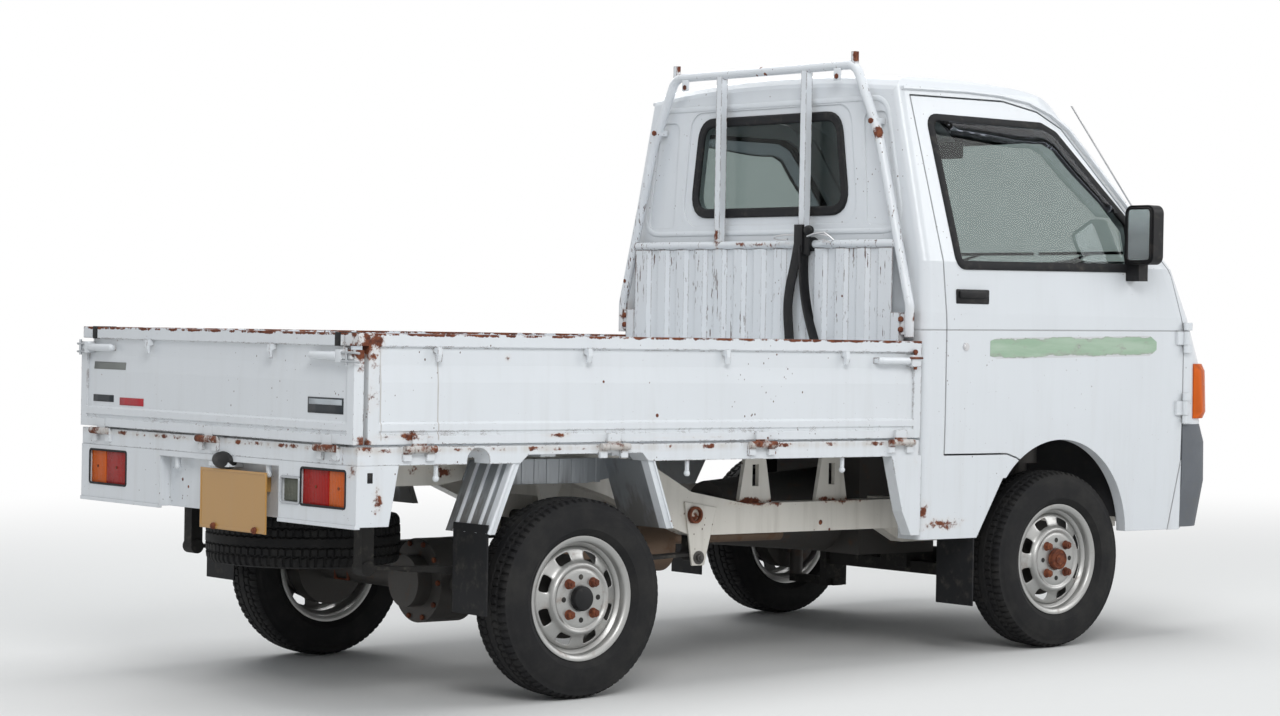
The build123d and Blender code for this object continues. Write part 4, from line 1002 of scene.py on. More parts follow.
class TRUCK_OT_wheels(bpy.types.Operator):
    """Make the four road wheels and the spare"""

    bl_idname = "truck.wheels"
    bl_label = "Wheels"

    def execute(self, context):
        sizes = context.scene.truck_sizes
        for end in ("front", "rear"):
            for side in SIDES:
                place = wheel_place(end, side)
                body = f"wheel_{end}_{side}"
                build_tyre(f"tyre_{end}_{side}_worn", place, body, f"tyre_{end}_{side}", sizes)
                build_rim(f"wheel_{end}_{side}", place, body, f"rim_{end}_{side}", sizes, end == "rear")
        place = spare_place()
        build_tyre("spare_tyre_worn", place, "truck", "spare_wheel", sizes)
        build_rim("spare_rim", place, "truck", None, sizes, False)
        return {"FINISHED"}


# Heights, and half the cab's width at each
CAB_SIDE = ((0.385, 0.720, 1.040, 1.190, 1.700), (0.690, 0.697, 0.697, 0.690, 0.5646))
# Outlines in the level drawing: x and z on the doors, y and z on the walls
DOOR_WINDOW = (
    (1.362, 1.180), (1.330, 1.611), (1.797, 1.609), (1.853, 1.586), (2.116, 1.325), (2.112, 1.189),
)
VISOR = ((1.352, 1.604), (1.793, 1.602), (1.846, 1.580), (2.074, 1.354))
REAR_WINDOW = ((-0.352, 1.340), (0.352, 1.340), (0.312, 1.622), (-0.312, 1.622))
WALL_PRESSING = ((-0.600, 1.278), (0.600, 1.278), (0.522, 1.668), (-0.522, 1.668))
WINDSCREEN = ((-0.604, 1.206), (0.604, 1.206), (0.491, 1.594), (-0.491, 1.594))
# The section of a trim strip: shares of its width and of its height
STRIP = ((-0.5, -0.3), (-0.5, 0.45), (-0.34, 1.0), (0.34, 1.0), (0.5, 0.45), (0.5, -0.3))
# How far the rain visor reaches into the window, and its section: share of that, height off the door
VISOR_REACH = 0.052
VISOR_SECTION = ((0.0, 0.004), (0.15, 0.013), (0.55, 0.016), (1.0, 0.011))
WINDOW_MIDDLE = Vector((1.72, 1.36))
CORNER_STEPS = 6
# Ahead of the truck, where rays that look for its front start
AHEAD = 3.2
# The door lock's place along and up the door
LOCK_X, LOCK_Z = 1.389, 0.943


def cab_half(z):
    """Half the cab's width at a height."""
    return float(np.interp(z, *CAB_SIDE))


def cab_out(z, side):
    """The direction straight out of the cab's side at a height."""
    lean = (cab_half(z + 0.01) - cab_half(z - 0.01)) / 0.02
    return Vector((0, side, -lean)).normalized()


def rounded(points, radius):
    """A closed outline with round corners."""
    outline = []
    for index, point in enumerate(points):
        corner = Vector(point)
        before = Vector(points[index - 1]) - corner
        after = Vector(points[(index + 1) % len(points)]) - corner
        reach = min(radius / math.tan(before.angle(after) / 2), before.length / 2, after.length / 2)
        start = corner + before.normalized() * reach
        end = corner + after.normalized() * reach
        for step in range(CORNER_STEPS + 1):
            t = step / CORNER_STEPS
            outline.append((1 - t) ** 2 * start + 2 * t * (1 - t) * corner + t**2 * end)
    return outline


def divided(points, longest, closed=True):
    """An outline with its long runs divided."""
    out = []
    count = len(points)
    for index in range(count if closed else count - 1):
        here, there = Vector(points[index]), Vector(points[(index + 1) % count])
        parts = max(1, math.ceil((there - here).length / longest))
        out += [here.lerp(there, part / parts) for part in range(parts)]
    if not closed:
        out.append(Vector(points[-1]))
    return out


def strip_along(shape, points, normals, width, height, closed=True):
    """A low strip with soft shoulders along points that lie on a surface."""
    rows = []
    count = len(points)
    for index, point in enumerate(points):
        before = points[index - 1] if closed or index else point
        after = points[(index + 1) % count] if closed or index < count - 1 else point
        ahead = (Vector(after) - Vector(before)).normalized()
        normal = Vector(normals[index] if isinstance(normals, list) else normals)
        across = ahead.cross(normal).normalized()
        rows.append([Vector(point) + across * a * width + normal * b * height for a, b in STRIP])
    verts = shape.grid(rows, closed_across=True, closed_along=closed)
    if not closed:
        shape.close(verts)
    return shape


class Skin:
    """The outside of drawn nodes, to lay trim on."""

    def __init__(self, *names):
        verts, faces = [], []
        for name in names:
            data = NODES[name].data
            first = len(verts)
            verts += [tuple(vertex.co) for vertex in data.vertices]
            faces += [[first + index for index in face.vertices] for face in data.polygons]
        self.tree = BVHTree.FromPolygons(verts, faces)

    def hit(self, start, direction):
        """Where a ray in the level drawing meets the outside, and the way out there."""
        ahead = (LEVEL.to_3x3() @ Vector(direction)).normalized()
        point, normal, _, _ = self.tree.ray_cast(LEVEL @ Vector(start), ahead)
        if point is None:
            raise ValueError(f"nothing at {tuple(start)}")
        if normal.dot(ahead) > 0:
            normal = -normal
        return TO_LEVEL @ point, (TO_LEVEL.to_3x3() @ normal).normalized()


def on_front(skin, spots, sink=0.0):
    """Points and normals where spots of y and z meet the front, sunk by a depth."""
    points, normals = [], []
    for y, z in spots:
        point, normal = skin.hit((AHEAD, y, z), (-1, 0, 0))
        points.append(point - normal * sink)
        normals.append(normal)
    return points, normals


def decal(name, skin, low, high, lift, material):
    """A thin blank strip that follows the tailgate's outside, from y and z corners."""
    shape = Shape()
    rows = []
    for z in np.linspace(low[1], high[1], 5):
        row = []
        for y in np.linspace(low[0], high[0], 5):
            point, normal = skin.hit((-1.0, y, z), (1, 0, 0))
            row.append(point + normal * lift)
        rows.append(row)
    shape.grid(rows)
    thicken(shape.piece(name, material, "tailgate", "black_plastic"), lift)


class TRUCK_OT_doors(bpy.types.Operator):
    """Make the doors' seals, visors, handles, locks and faded bands"""

    bl_idname = "truck.doors"
    bl_label = "Door trim"

    def execute(self, context):
        for name, side in SIDES.items():
            body = f"door_{name}"
            self.seal(name, side, body)
            self.visor(name, side, body)
            self.handle(name, side, body)
            self.band(name, side, body)
        return {"FINISHED"}

    def seal(self, name, side, body):
        """The black rubber round the window and the channel that the glass runs in."""
        outline = divided(rounded(DOOR_WINDOW, 0.030), 0.08)
        points = [Vector((p.x, side * cab_half(p.y), p.y)) for p in outline]
        shape = strip_along(Shape(), points, cab_out(1.4, side), 0.026, 0.0045)
        shape.piece(f"door_seal_{name}", FINISHES["black_rubber"], body, "black_rubber")
        inner = [point - cab_out(1.4, side) * 0.010 for point in points]
        channel = strip_along(Shape(), inner, cab_out(1.4, side), 0.012, 0.009)
        channel.piece(f"door_channel_{name}", FINISHES["black_plastic"], body, "black_plastic")

    def visor(self, name, side, body):
        """The smoked strip that keeps rain off the window's top and front."""
        line = divided(VISOR, 0.05, closed=False)
        out = cab_out(1.4, side)
        rows = []
        for point in line:
            inward = (WINDOW_MIDDLE - point).normalized()
            row = []
            for share, rise in VISOR_SECTION:
                spot = point + inward * VISOR_REACH * share
                row.append(Vector((spot.x, side * cab_half(spot.y), spot.y)) + out * rise)
            rows.append(row)
        shape = Shape()
        shape.grid(rows)
        made = shape.piece(f"rain_visor_{name}", FINISHES["smoked"], body, "clear_glass")
        thicken(made, 0.002)

    def handle(self, name, side, body):
        """The black pull in its cup, with the lock below it."""
        face = cab_half(1.09)
        low, high = sorted((side * (face - 0.003), side * (face + 0.0045)))
        cup = Shape().box((1.347, low, 1.0680), (1.481, high, 1.1100)).soften(0.0035, 3)
        cup.piece(f"handle_cup_{name}", FINISHES["black_plastic"], body, "black_plastic")
        low, high = sorted((side * (face + 0.003), side * (face + 0.0125)))
        pull = Shape().box((1.355, low, 1.0845), (1.462, high, 1.1055)).soften(0.004, 3)
        pull.piece(f"handle_{name}", FINISHES["black_plastic"], body, "black_plastic")
        face = cab_half(LOCK_Z)
        back, front, tip = ((LOCK_X, side * (face + out), LOCK_Z) for out in (-0.004, 0.0035, 0.0050))
        lock = Shape().rod(back, front, 0.0125, 28, 0.0115)
        lock.rod((LOCK_X, side * face, LOCK_Z), tip, 0.0080, 28)
        lock.box((1.3875, side * face - 0.0055, 0.938), (1.3905, side * face + 0.0055, 0.948))
        lock.piece(f"lock_{name}", FINISHES["bare_metal"], body, "bare_metal")

    def band(self, name, side, body):
        """The faded band along the door, rising a little to the front, its front end cut to a point."""
        back, front = BAND_ENDS
        rows = []
        for x in np.linspace(back, front, 25):
            middle = 0.9390 + (x - back) * BAND_SLOPE
            half = min(0.031, 0.012 + (front - x) * 0.9, 0.022 + (x - back) * 0.9)
            heights = np.linspace(middle - half, middle + half, 4)
            rows.append([(x, side * (cab_half(z) + 0.0007), z) for z in heights])
        shape = Shape()
        shape.grid(rows)
        shape.piece(f"door_band_{name}", FINISHES["green_band"], body, "white_paint")


class TRUCK_OT_cab(bpy.types.Operator):
    """Make the cab's window rubbers, gutters, pressings and mirrors"""

    bl_idname = "truck.cab"
    bl_label = "Cab trim"

    def execute(self, context):
        self.rear_wall()
        self.screen_rubber()
        for name, side in SIDES.items():
            self.gutter(name, side)
            self.mirror(name, side)
        return {"FINISHED"}

    def rear_wall(self):
        """The rear window's rubber and the raised line round the pressing."""
        outline = divided(rounded(REAR_WINDOW, 0.060), 0.08)
        points = [Vector((REAR_WALL + 0.004, p.x, p.y)) for p in outline]
        rubber = strip_along(Shape(), points, (-1, 0, 0), 0.029, 0.008)
        rubber.piece("rear_window_rubber", FINISHES["black_rubber"], "truck", "black_rubber")
        outline = divided(rounded(WALL_PRESSING, 0.070), 0.08)
        points = [Vector((REAR_WALL, p.x, p.y)) for p in outline]
        line = strip_along(Shape(), points, (-1, 0, 0), 0.016, 0.003)
        line.piece("rear_wall_line", FINISHES["white_paint"], "truck", "white_paint")

    def screen_rubber(self):
        """The windscreen's rubber."""
        points, normals = on_front(Skin("cab_shell"), divided(rounded(WINDSCREEN, 0.046), 0.05))
        rubber = strip_along(Shape(), points, normals, 0.030, 0.006)
        rubber.piece("windscreen_rubber", FINISHES["black_rubber"], "truck", "black_rubber")

    def gutter(self, name, side):
        """The drip rail along the roof and down the windscreen pillar."""
        path = [(1.236, 1.693), (1.50, 1.698), (1.640, 1.694), (1.755, 1.680), (1.845, 1.648), (1.915, 1.605)]
        path += [(2.08, 1.423), (2.235, 1.252)]
        line = divided(path, 0.06, closed=False)
        points = [Vector((p.x, side * (cab_half(p.y) + 0.001), p.y)) for p in line]
        shape = strip_along(Shape(), points, cab_out(1.5, side), 0.011, 0.009, closed=False)
        shape.piece(f"gutter_{name}", FINISHES["white_paint"], "truck", "white_paint")

    def mirror(self, name, side):
        """The mirror's glass with its lip, seen from the driver's seat."""
        low, high = side * 0.752 - 0.047, side * 0.752 + 0.047
        outline = rounded([(low, 1.210), (high, 1.210), (high, 1.370), (low, 1.370)], 0.018)
        face = [(2.0640, p.x, p.y) for p in outline]
        pane = Shape().slab(face, (-0.0022, 0, 0))
        pane.piece(f"mirror_glass_{name}", FINISHES["mirror"], f"door_{name}", "bare_metal")
        lip = strip_along(Shape(), [Vector(p) for p in face], (-1, 0, 0), 0.007, 0.005)
        lip.piece(f"mirror_lip_{name}", FINISHES["black_plastic"], f"door_{name}", "black_plastic")


# Lens blocks: name, finish, y from, y to, z from, z to
TAIL_LENSES = (
    ("tail_red_left", "tail_lens", 0.4453, 0.5660, 0.5193, 0.6127),
    ("tail_amber_left", "amber", 0.5665, 0.6497, 0.5193, 0.6127),
    ("tail_red_right", "tail_lens", -0.5660, -0.4453, 0.5193, 0.6127),
    ("tail_amber_right", "amber", -0.6497, -0.5665, 0.5193, 0.6127),
    ("reverse_lens", "grey_lens", -0.4367, -0.3573, 0.5243, 0.5827),
)
LENS_FRONT = -0.7215
LENS_BACK = -0.6763
LAMP_FACE = -0.7268
# The tail latches' bars, kept inside the drawn model's box
LATCH_X = -0.7434
# The upper wire of a tail latch's loop, on the left
LATCH_WIRE = (
    (-0.745, 0.632, 0.909), (-0.749, 0.690, 0.909), (-0.742, 0.7035, 0.909), (-0.728, 0.7045, 0.907),
)


class TRUCK_OT_tail(bpy.types.Operator):
    """Make the tail lamps, the plate's rim, bolts and lamp, blank strips, latches, plugs and pegs"""

    bl_idname = "truck.tail"
    bl_label = "Tail"

    def execute(self, context):
        self.lamps()
        self.plate()
        self.stickers()
        self.tail_trim()
        return {"FINISHED"}

    def lamps(self):
        """Red, amber and grey lenses, a gasket round each block, and the lenses' screws."""
        for name, finish, y0, y1, z0, z1 in TAIL_LENSES:
            shape = Shape().box((LENS_FRONT, y0, z0), (LENS_BACK, y1, z1)).soften(0.004, 3)
            made = shape.piece(name, FINISHES[finish], "truck", "tail_lens")
            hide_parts("tail_lamps")
        gaskets = Shape()
        for y0, y1, z0, z1 in ((0.445, 0.650, 0.519, 0.613), (-0.650, -0.445, 0.519, 0.613)):
            outline = divided(rounded([(y0, z0), (y1, z0), (y1, z1), (y0, z1)], 0.008), 0.05)
            line = [Vector((LAMP_FACE, p.x, p.y)) for p in outline]
            strip_along(gaskets, line, (-1, 0, 0), 0.006, 0.0022)
        gaskets.piece("lamp_gaskets", FINISHES["black_rubber"], "truck", "black_rubber")
        rim = rounded([(-0.440, 0.521), (-0.354, 0.521), (-0.354, 0.586), (-0.440, 0.586)], 0.006)
        line = [Vector((LAMP_FACE, p.x, p.y)) for p in rim]
        edging = strip_along(Shape(), line, (-1, 0, 0), 0.007, 0.004)
        edging.piece("reverse_frame", FINISHES["zinc"], "truck", "bare_metal")
        screws = Shape()
        for y in (0.612, 0.508, -0.508, -0.612):
            screws.rod((LENS_FRONT + 0.002, y, 0.567), (LENS_FRONT - 0.0016, y, 0.567), 0.0042, 16, 0.0036)
        screws.piece("lamp_screws", FINISHES["rust"], "truck", "bare_metal")

    def plate(self):
        """The blank plate's raised rim, its bolts and the lamp above it."""
        edge = rounded([(-0.2875, 0.4365), (0.0335, 0.4365), (0.0335, 0.5875), (-0.2875, 0.5875)], 0.010)
        points = [Vector((-0.7330, p.x, p.y)) for p in divided(edge, 0.05)]
        rim = strip_along(Shape(), points, (-1, 0, 0), 0.006, 0.0014)
        rim.piece("plate_rim", FINISHES["plate_paint"], "truck", "plate_paint")
        bolts = Shape()
        for y, z in ((-0.035, 0.439), (-0.239, 0.439)):
            bolts.rod((-0.7325, y, z), (-0.7395, y, z), 0.0095, 20, 0.0085)
            bolts.rod((-0.7390, y, z), (-0.7430, y, z), 0.0060, 6)
        bolts.soften(0.0008)
        bolts.piece("plate_bolts", FINISHES["rust"], "truck", "bare_metal")
        lamp = Shape()
        profile = [(0.000, 0.0395), (0.010, 0.0405), (0.021, 0.0360), (0.028, 0.0240), (0.030, 0.0000)]
        turn = Matrix.Translation((-0.715, -0.069, 0.614)) @ Matrix.Rotation(-math.pi / 2, 4, "Y")
        lamp.lathe(profile, turn @ Matrix.Diagonal((0.60, 1.24, 1, 1)), 40, closed=False)
        lamp.piece("plate_lamp", FINISHES["black_plastic"], "truck", "black_plastic")

    def stickers(self):
        """The blank strips and block where the badges were."""
        skin = Skin("tailgate")
        for name, finish, y0, y1, z0, z1, lift in (
            ("strip_grey", "sticker_grey", 0.452, 0.627, 0.840, 0.860, 0.0012),
            ("strip_dark", "sticker_dark", 0.515, 0.628, 0.749, 0.768, 0.0012),
            ("strip_red", "sticker_red", 0.350, 0.480, 0.742, 0.763, 0.0012),
            ("block_dark", "sticker_dark", -0.640, -0.478, 0.754, 0.794, 0.0012),
            ("block_pale", "sticker_pale", -0.634, -0.484, 0.776, 0.790, 0.0022),
        ):
            decal(name, skin, (y0, z0), (y1, z1), lift, FINISHES[finish])

    def tail_trim(self):
        """Latch bars and wire loops, the rail's end strips, pegs, side plugs and peg ends."""
        for name, side in SIDES.items():
            bar = Shape()
            bar.rod((LATCH_X, side * 0.512, 0.900), (LATCH_X, side * 0.628, 0.900), 0.0105, 20)
            bar.ball((LATCH_X, side * 0.512, 0.900), 0.0105, rows=8)
            bar.box((-0.7500, side * 0.640 - 0.012, 0.884), (-0.7280, side * 0.640 + 0.012, 0.916))
            bar.soften(0.0015)
            bar.piece(f"tail_latch_{name}", FINISHES["white_paint"], "tailgate", "white_paint")
            loop = Shape()
            for height in (0.0, -0.022):
                loop.tube([(x, side * y, z + height) for x, y, z in LATCH_WIRE], 0.0032, 10)
            loop.tube([(-0.748, side * 0.676, 0.921), (-0.748, side * 0.676, 0.878)], 0.0038, 10)
            loop.piece(f"tail_loop_{name}", FINISHES["zinc"], "tailgate", "bare_metal")
            end = Shape()
            low, high = sorted((side * 0.604, side * 0.630))
            end.box((-0.7362, low, 0.9245), (-0.6738, high, 0.9592)).soften(0.0012)
            end.piece(f"rail_end_{name}", FINISHES["black_rubber"], "tailgate", "black_rubber")
        pegs = Shape()
        for y in (0.186, -0.274):
            pegs.rod((-0.7150, y, 0.640), (-0.7150, y, 0.586), 0.0075, 20)
            pegs.ball((-0.7150, y, 0.587), 0.0085, rows=8)
        pegs.piece("tail_pegs", FINISHES["white_paint"], "truck", "white_paint")
        plugs = Shape()
        for side in (-1, 1):
            low, high = sorted((side * 0.6960, side * 0.6990))
            plugs.box((-0.694, low, 0.584), (-0.678, high, 0.610)).soften(0.0012, 2)
        plugs.piece("side_plugs", FINISHES["black_rubber"], "truck", "black_rubber")
        caps = Shape()
        for x in (-0.477, 0.351, 0.920):
            for side in (-1, 1):
                caps.ball((x, side * 0.6835, 0.592), 0.0088, rows=8)
        caps.piece("peg_ends", FINISHES["white_paint"], "truck", "white_paint")


class TRUCK_OT_nose(bpy.types.Operator):
    """Make the headlamps, indicators, grille and bumper trim"""

    bl_idname = "truck.nose"
    bl_label = "Nose"

    def execute(self, context):
        shell = Skin("cab_shell")
        for name, side in SIDES.items():
            self.ring(f"headlamp_rim_{name}", shell, side)
            self.indicator(name, side)
        self.grille(shell)
        self.bumper()
        return {"FINISHED"}

    def ring(self, name, skin, side):
        """The black rim of a headlamp."""
        outline = rounded([(0.389, 0.738), (0.591, 0.738), (0.591, 0.884), (0.389, 0.884)], 0.018)
        points, normals = on_front(skin, [(side * p.x, p.y) for p in divided(outline, 0.03)])
        rim = strip_along(Shape(), points, normals, 0.012, 0.005)
        rim.piece(name, FINISHES["black_plastic"], "truck", "black_plastic")

    def indicator(self, name, side):
        """The amber lens that wraps the corner and stands a little proud of it."""
        skin = Skin("front_lamps", "cab_shell")
        low, high = 0.729, 0.899
        block_rows = []
        for z in np.linspace(low, high, 9):
            starts = [((x, side * 0.9, z), (0, -side, 0)) for x in (2.388, 2.402, 2.417, 2.431, 2.446)]
            starts += [((AHEAD, side * y, z), (-1, 0, 0)) for y in (0.655, 0.645, 0.635, 0.625, 0.616, 0.608)]
            end = min(1.0, 0.55 + min(z - low, high - z) / 0.02 * 0.45)
            outer, inner = [], []
            for index, (start, ahead) in enumerate(starts):
                turn = math.pi / 2 * index / (len(starts) - 1)
                out = Vector((math.sin(turn), side * math.cos(turn), 0))
                point, _ = skin.hit(start, ahead)
                proud = (0.003 + 0.019 * math.sin(math.pi * (index + 1) / (len(starts) + 1)) ** 1.5) * end
                outer.append(point + out * proud)
                inner.append(point - out * 0.001)
            block_rows.append(outer + inner[::-1])
        shape = Shape()
        shape.close(shape.grid(block_rows, closed_across=True))
        shape.piece(f"indicator_{name}", FINISHES["amber"], "truck", "tail_lens")

    def grille(self, skin):
        """Black strips over each slot of the nose, painted as the shade inside it."""
        shape = Shape()
        for z in (0.768, 0.796, 0.824, 0.852):
            points, normals = on_front(skin, [(y, z) for y in np.linspace(-0.348, 0.348, 25)])
            strip_along(shape, points, normals, 0.0145, 0.003, closed=False)
        shape.piece("grille_slots", FINISHES["black_plastic"], "truck", "black_plastic")

    def bumper(self):
        """The bumper's two air slots, as black strips painted as the shade inside them."""
        skin = Skin("front_bumper")
        shape = Shape()
        for z in (0.478, 0.504):
            points, normals = on_front(skin, [(y, z) for y in np.linspace(-0.30, 0.30, 21)], 0.001)
            strip_along(shape, points, normals, 0.016, 0.002, closed=False)
        shape.piece("bumper_slots", FINISHES["black_plastic"], "truck", "black_plastic")


# The side gates' outer face
GATE_FACE = 0.6975


class TRUCK_OT_bed(bpy.types.Operator):
    """Make the side gates' latches and pins and the guard's brackets and bolts"""

    bl_idname = "truck.bed"
    bl_label = "Bed and guard"

    def execute(self, context):
        for name, side in SIDES.items():
            self.gate(name, side)
        self.guard()
        return {"FINISHED"}

    def gate(self, name, side):
        """A gate's front latch with its rusted pin."""
        body = f"side_gate_{name}"
        face = GATE_FACE
        latch = Shape()
        latch.rod((1.042, side * (face + 0.009), 0.9005), (1.150, side * (face + 0.009), 0.9005), 0.0100, 20)
        latch.ball((1.042, side * (face + 0.009), 0.9005), 0.0100, rows=8)
        latch.piece(f"gate_latch_{name}", FINISHES["white_paint"], body, "white_paint")
        pin = Shape()
        pin.rod((1.178, side * (face + 0.008), 0.9255), (1.178, side * (face + 0.008), 0.876), 0.0052, 14)
        pin.ball((1.178, side * (face + 0.008), 0.9265), 0.0075, rows=8)
        pin.tube([(1.150, side * (face + 0.016), 0.909), (1.190, side * (face + 0.017), 0.909),
                  (1.204, side * (face + 0.010), 0.909)], 0.0030, 10)
        pin.piece(f"gate_pin_{name}", FINISHES["rust"], body, "bare_metal")

    def guard(self):
        """Plates and bolts where the guard meets the cab and the bed."""
        fittings = Shape()
        for side in (-1, 1):
            fittings.box((1.190, side * 0.499 - 0.016, 1.588), (REAR_WALL, side * 0.499 + 0.016, 1.606))
            fittings.box((1.178, side * 0.350 - 0.014, 1.722), (1.184, side * 0.350 + 0.014, 1.758))
        fittings.soften(0.0012)
        fittings.piece("guard_brackets", FINISHES["white_paint"], "truck", "white_paint")
        bolts = Shape()
        for side in (-1, 1):
            for y, z in ((0.499, 1.597), (0.350, 1.734)):
                bolts.rod((1.1840, side * y, z), (1.1750, side * y, z), 0.0085, 6)
            for z in (0.99, 1.02):
                bolts.rod((1.1870, side * 0.637, z), (1.1780, side * 0.637, z), 0.0085, 6)
        bolts.soften(0.0010)
        bolts.piece("guard_bolts", FINISHES["rust"], "truck", "bare_metal")


SEAT_Y = 0.330
SEAT_HALF = 0.222
SEAT_STEPS = 32


def squared(share, power):
    """A sine or cosine pushed out towards a square corner, its sign kept."""
    return math.copysign(abs(share) ** power, share)


def swelling(edge):
    """0 at the end of a pad and 1 a tenth of its length in."""
    return min(1, math.sin(math.pi * min(0.5, edge * 5)))


def channel_depth(u, count):
    """How deep a sewn channel is at a share of a pad's length."""
    return 0.006 * math.exp(-(((u * count) % 1 - 0.5) / 0.08) ** 2)


def welt_depth(across, place):
    """How deep the lengthwise seam is at a place across a pad."""
    return 0.007 * math.exp(-((abs(across) - place) / 0.008) ** 2)


class TRUCK_OT_inside(bpy.types.Operator):
    """Make the seats and what shows inside the cab"""

    bl_idname = "truck.inside"
    bl_label = "Inside"

    def execute(self, context):
        for name, side in SIDES.items():
            self.pad(f"seat_cushion_{name}", side, (1.485, 1.975), 0.700, 0.795)
            self.backrest(f"seat_back_{name}", side)
        self.column()
        self.screen()
        return {"FINISHED"}

    def pad(self, name, side, length, low, high):
        """A crowned seat cushion with sewn channels."""
        rows = []
        count = 28
        for i in range(count + 1):
            u = i / count
            x = length[0] + (length[1] - length[0]) * u
            ring = []
            swell = swelling(min(u, 1 - u))
            channel = channel_depth(u, 5)
            top = high + (-0.014 + 0.016 * u) - 0.020 * (1 - swell)
            width = SEAT_HALF - 0.010 * (1 - swell)
            for j in range(SEAT_STEPS):
                v = j / SEAT_STEPS * 2 * math.pi
                across = squared(math.cos(v), 0.28) * width
                up = squared(math.sin(v), 0.38)
                crown = 0.016 * (1 - (across / width) ** 2) * swell
                sewn = crown - channel - welt_depth(across, 0.165) if up > 0.6 else 0
                z = (low + top) / 2 + (top - low) / 2 * up + sewn
                ring.append((x, side * SEAT_Y + across, z))
            rows.append(ring)
        self.cushion(name, rows)

    def backrest(self, name, side):
        """A crowned backrest that leans back, with sewn channels."""
        rows = []
        count = 26
        for i in range(count + 1):
            u = i / count
            swell = swelling(min(u, 1 - u))
            channel = channel_depth(u, 4)
            back = Vector((1.360, 0, 0.700)).lerp(Vector((1.300, 0, 1.228)), u)
            front = Vector((1.474, 0, 0.700)).lerp(Vector((1.406, 0, 1.228)), u)
            half = (front.x - back.x) / 2 * (0.70 + 0.30 * swell)
            width = SEAT_HALF - 0.030 * (1 - swell) - 0.02 * u
            ring = []
            for j in range(SEAT_STEPS):
                v = j / SEAT_STEPS * 2 * math.pi
                across = squared(math.cos(v), 0.28) * width
                depth = squared(math.sin(v), 0.40)
                crown = 0.014 * (1 - (across / width) ** 2) * swell
                sewn = crown - channel - welt_depth(across, 0.160) if depth > 0.6 else 0
                ring.append(((back.x + front.x) / 2 + half * depth + sewn, side * SEAT_Y + across, back.z))
            rows.append(ring)
        self.cushion(name, rows)

    def cushion(self, name, rows):
        shape = Shape()
        shape.close(shape.grid(rows, closed_across=True))
        made = shape.piece(name, FINISHES["seat_vinyl"], "truck", "seat_vinyl", smooth=1.2)
        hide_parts("seats")

    def column(self):
        """The stalks on the steering column."""
        stalks = Shape()
        for side, drop in ((-1, 0.0), (1, 0.01)):
            start = Vector((2.102, -0.335 + side * 0.02, 1.045))
            end = Vector((2.080, -0.335 + side * 0.165, 1.075 - drop))
            stalks.tube([start, start.lerp(end, 0.5) + Vector((0, 0, 0.004)), end], 0.0060, 12)
            stalks.ball(end, 0.0095, rows=8)
        stalks.piece("column_stalks", FINISHES["black_plastic"], "truck", "black_plastic")

    def screen(self):
        """The inside mirror and the sun blinds."""
        blinds = Shape()
        for side in (-1, 1):
            low, high = sorted((side * 0.06, side * 0.42))
            turn = Matrix.Rotation(math.radians(38), 3, "Y")
            blinds.box((1.86, low, 1.618), (1.99, high, 1.632), turn)
        blinds.soften(0.005, 3)
        blinds.piece("sun_blinds", FINISHES["dash_plastic"], "truck", "dash_plastic")
        mirror = Shape().box((1.935, -0.105, 1.535), (1.957, 0.105, 1.590)).soften(0.009, 3)
        mirror.rod((1.955, 0, 1.565), (1.990, 0, 1.600), 0.005, 12)
        mirror.piece("inside_mirror", FINISHES["black_plastic"], "truck", "black_plastic")


SPRING_Y = 0.4275
# The circle of bolts on the axle's casing, and the axle's height
CASING_BOLTS = 0.106
LEVEL_AXLE_Z = 0.266
RING = (
    (-0.002, 0.0240), (0.011, 0.0240), (0.0125, 0.0225), (0.0125, 0.0185), (0.011, 0.0170), (-0.002, 0.0170),
)
# Washer, head and end of the bolt: y from, y to, radius, sides
SPRING_BOLT = ((0.460, 0.464, 0.0190, 28), (0.463, 0.473, 0.0125, 6), (0.472, 0.478, 0.0070, 16))


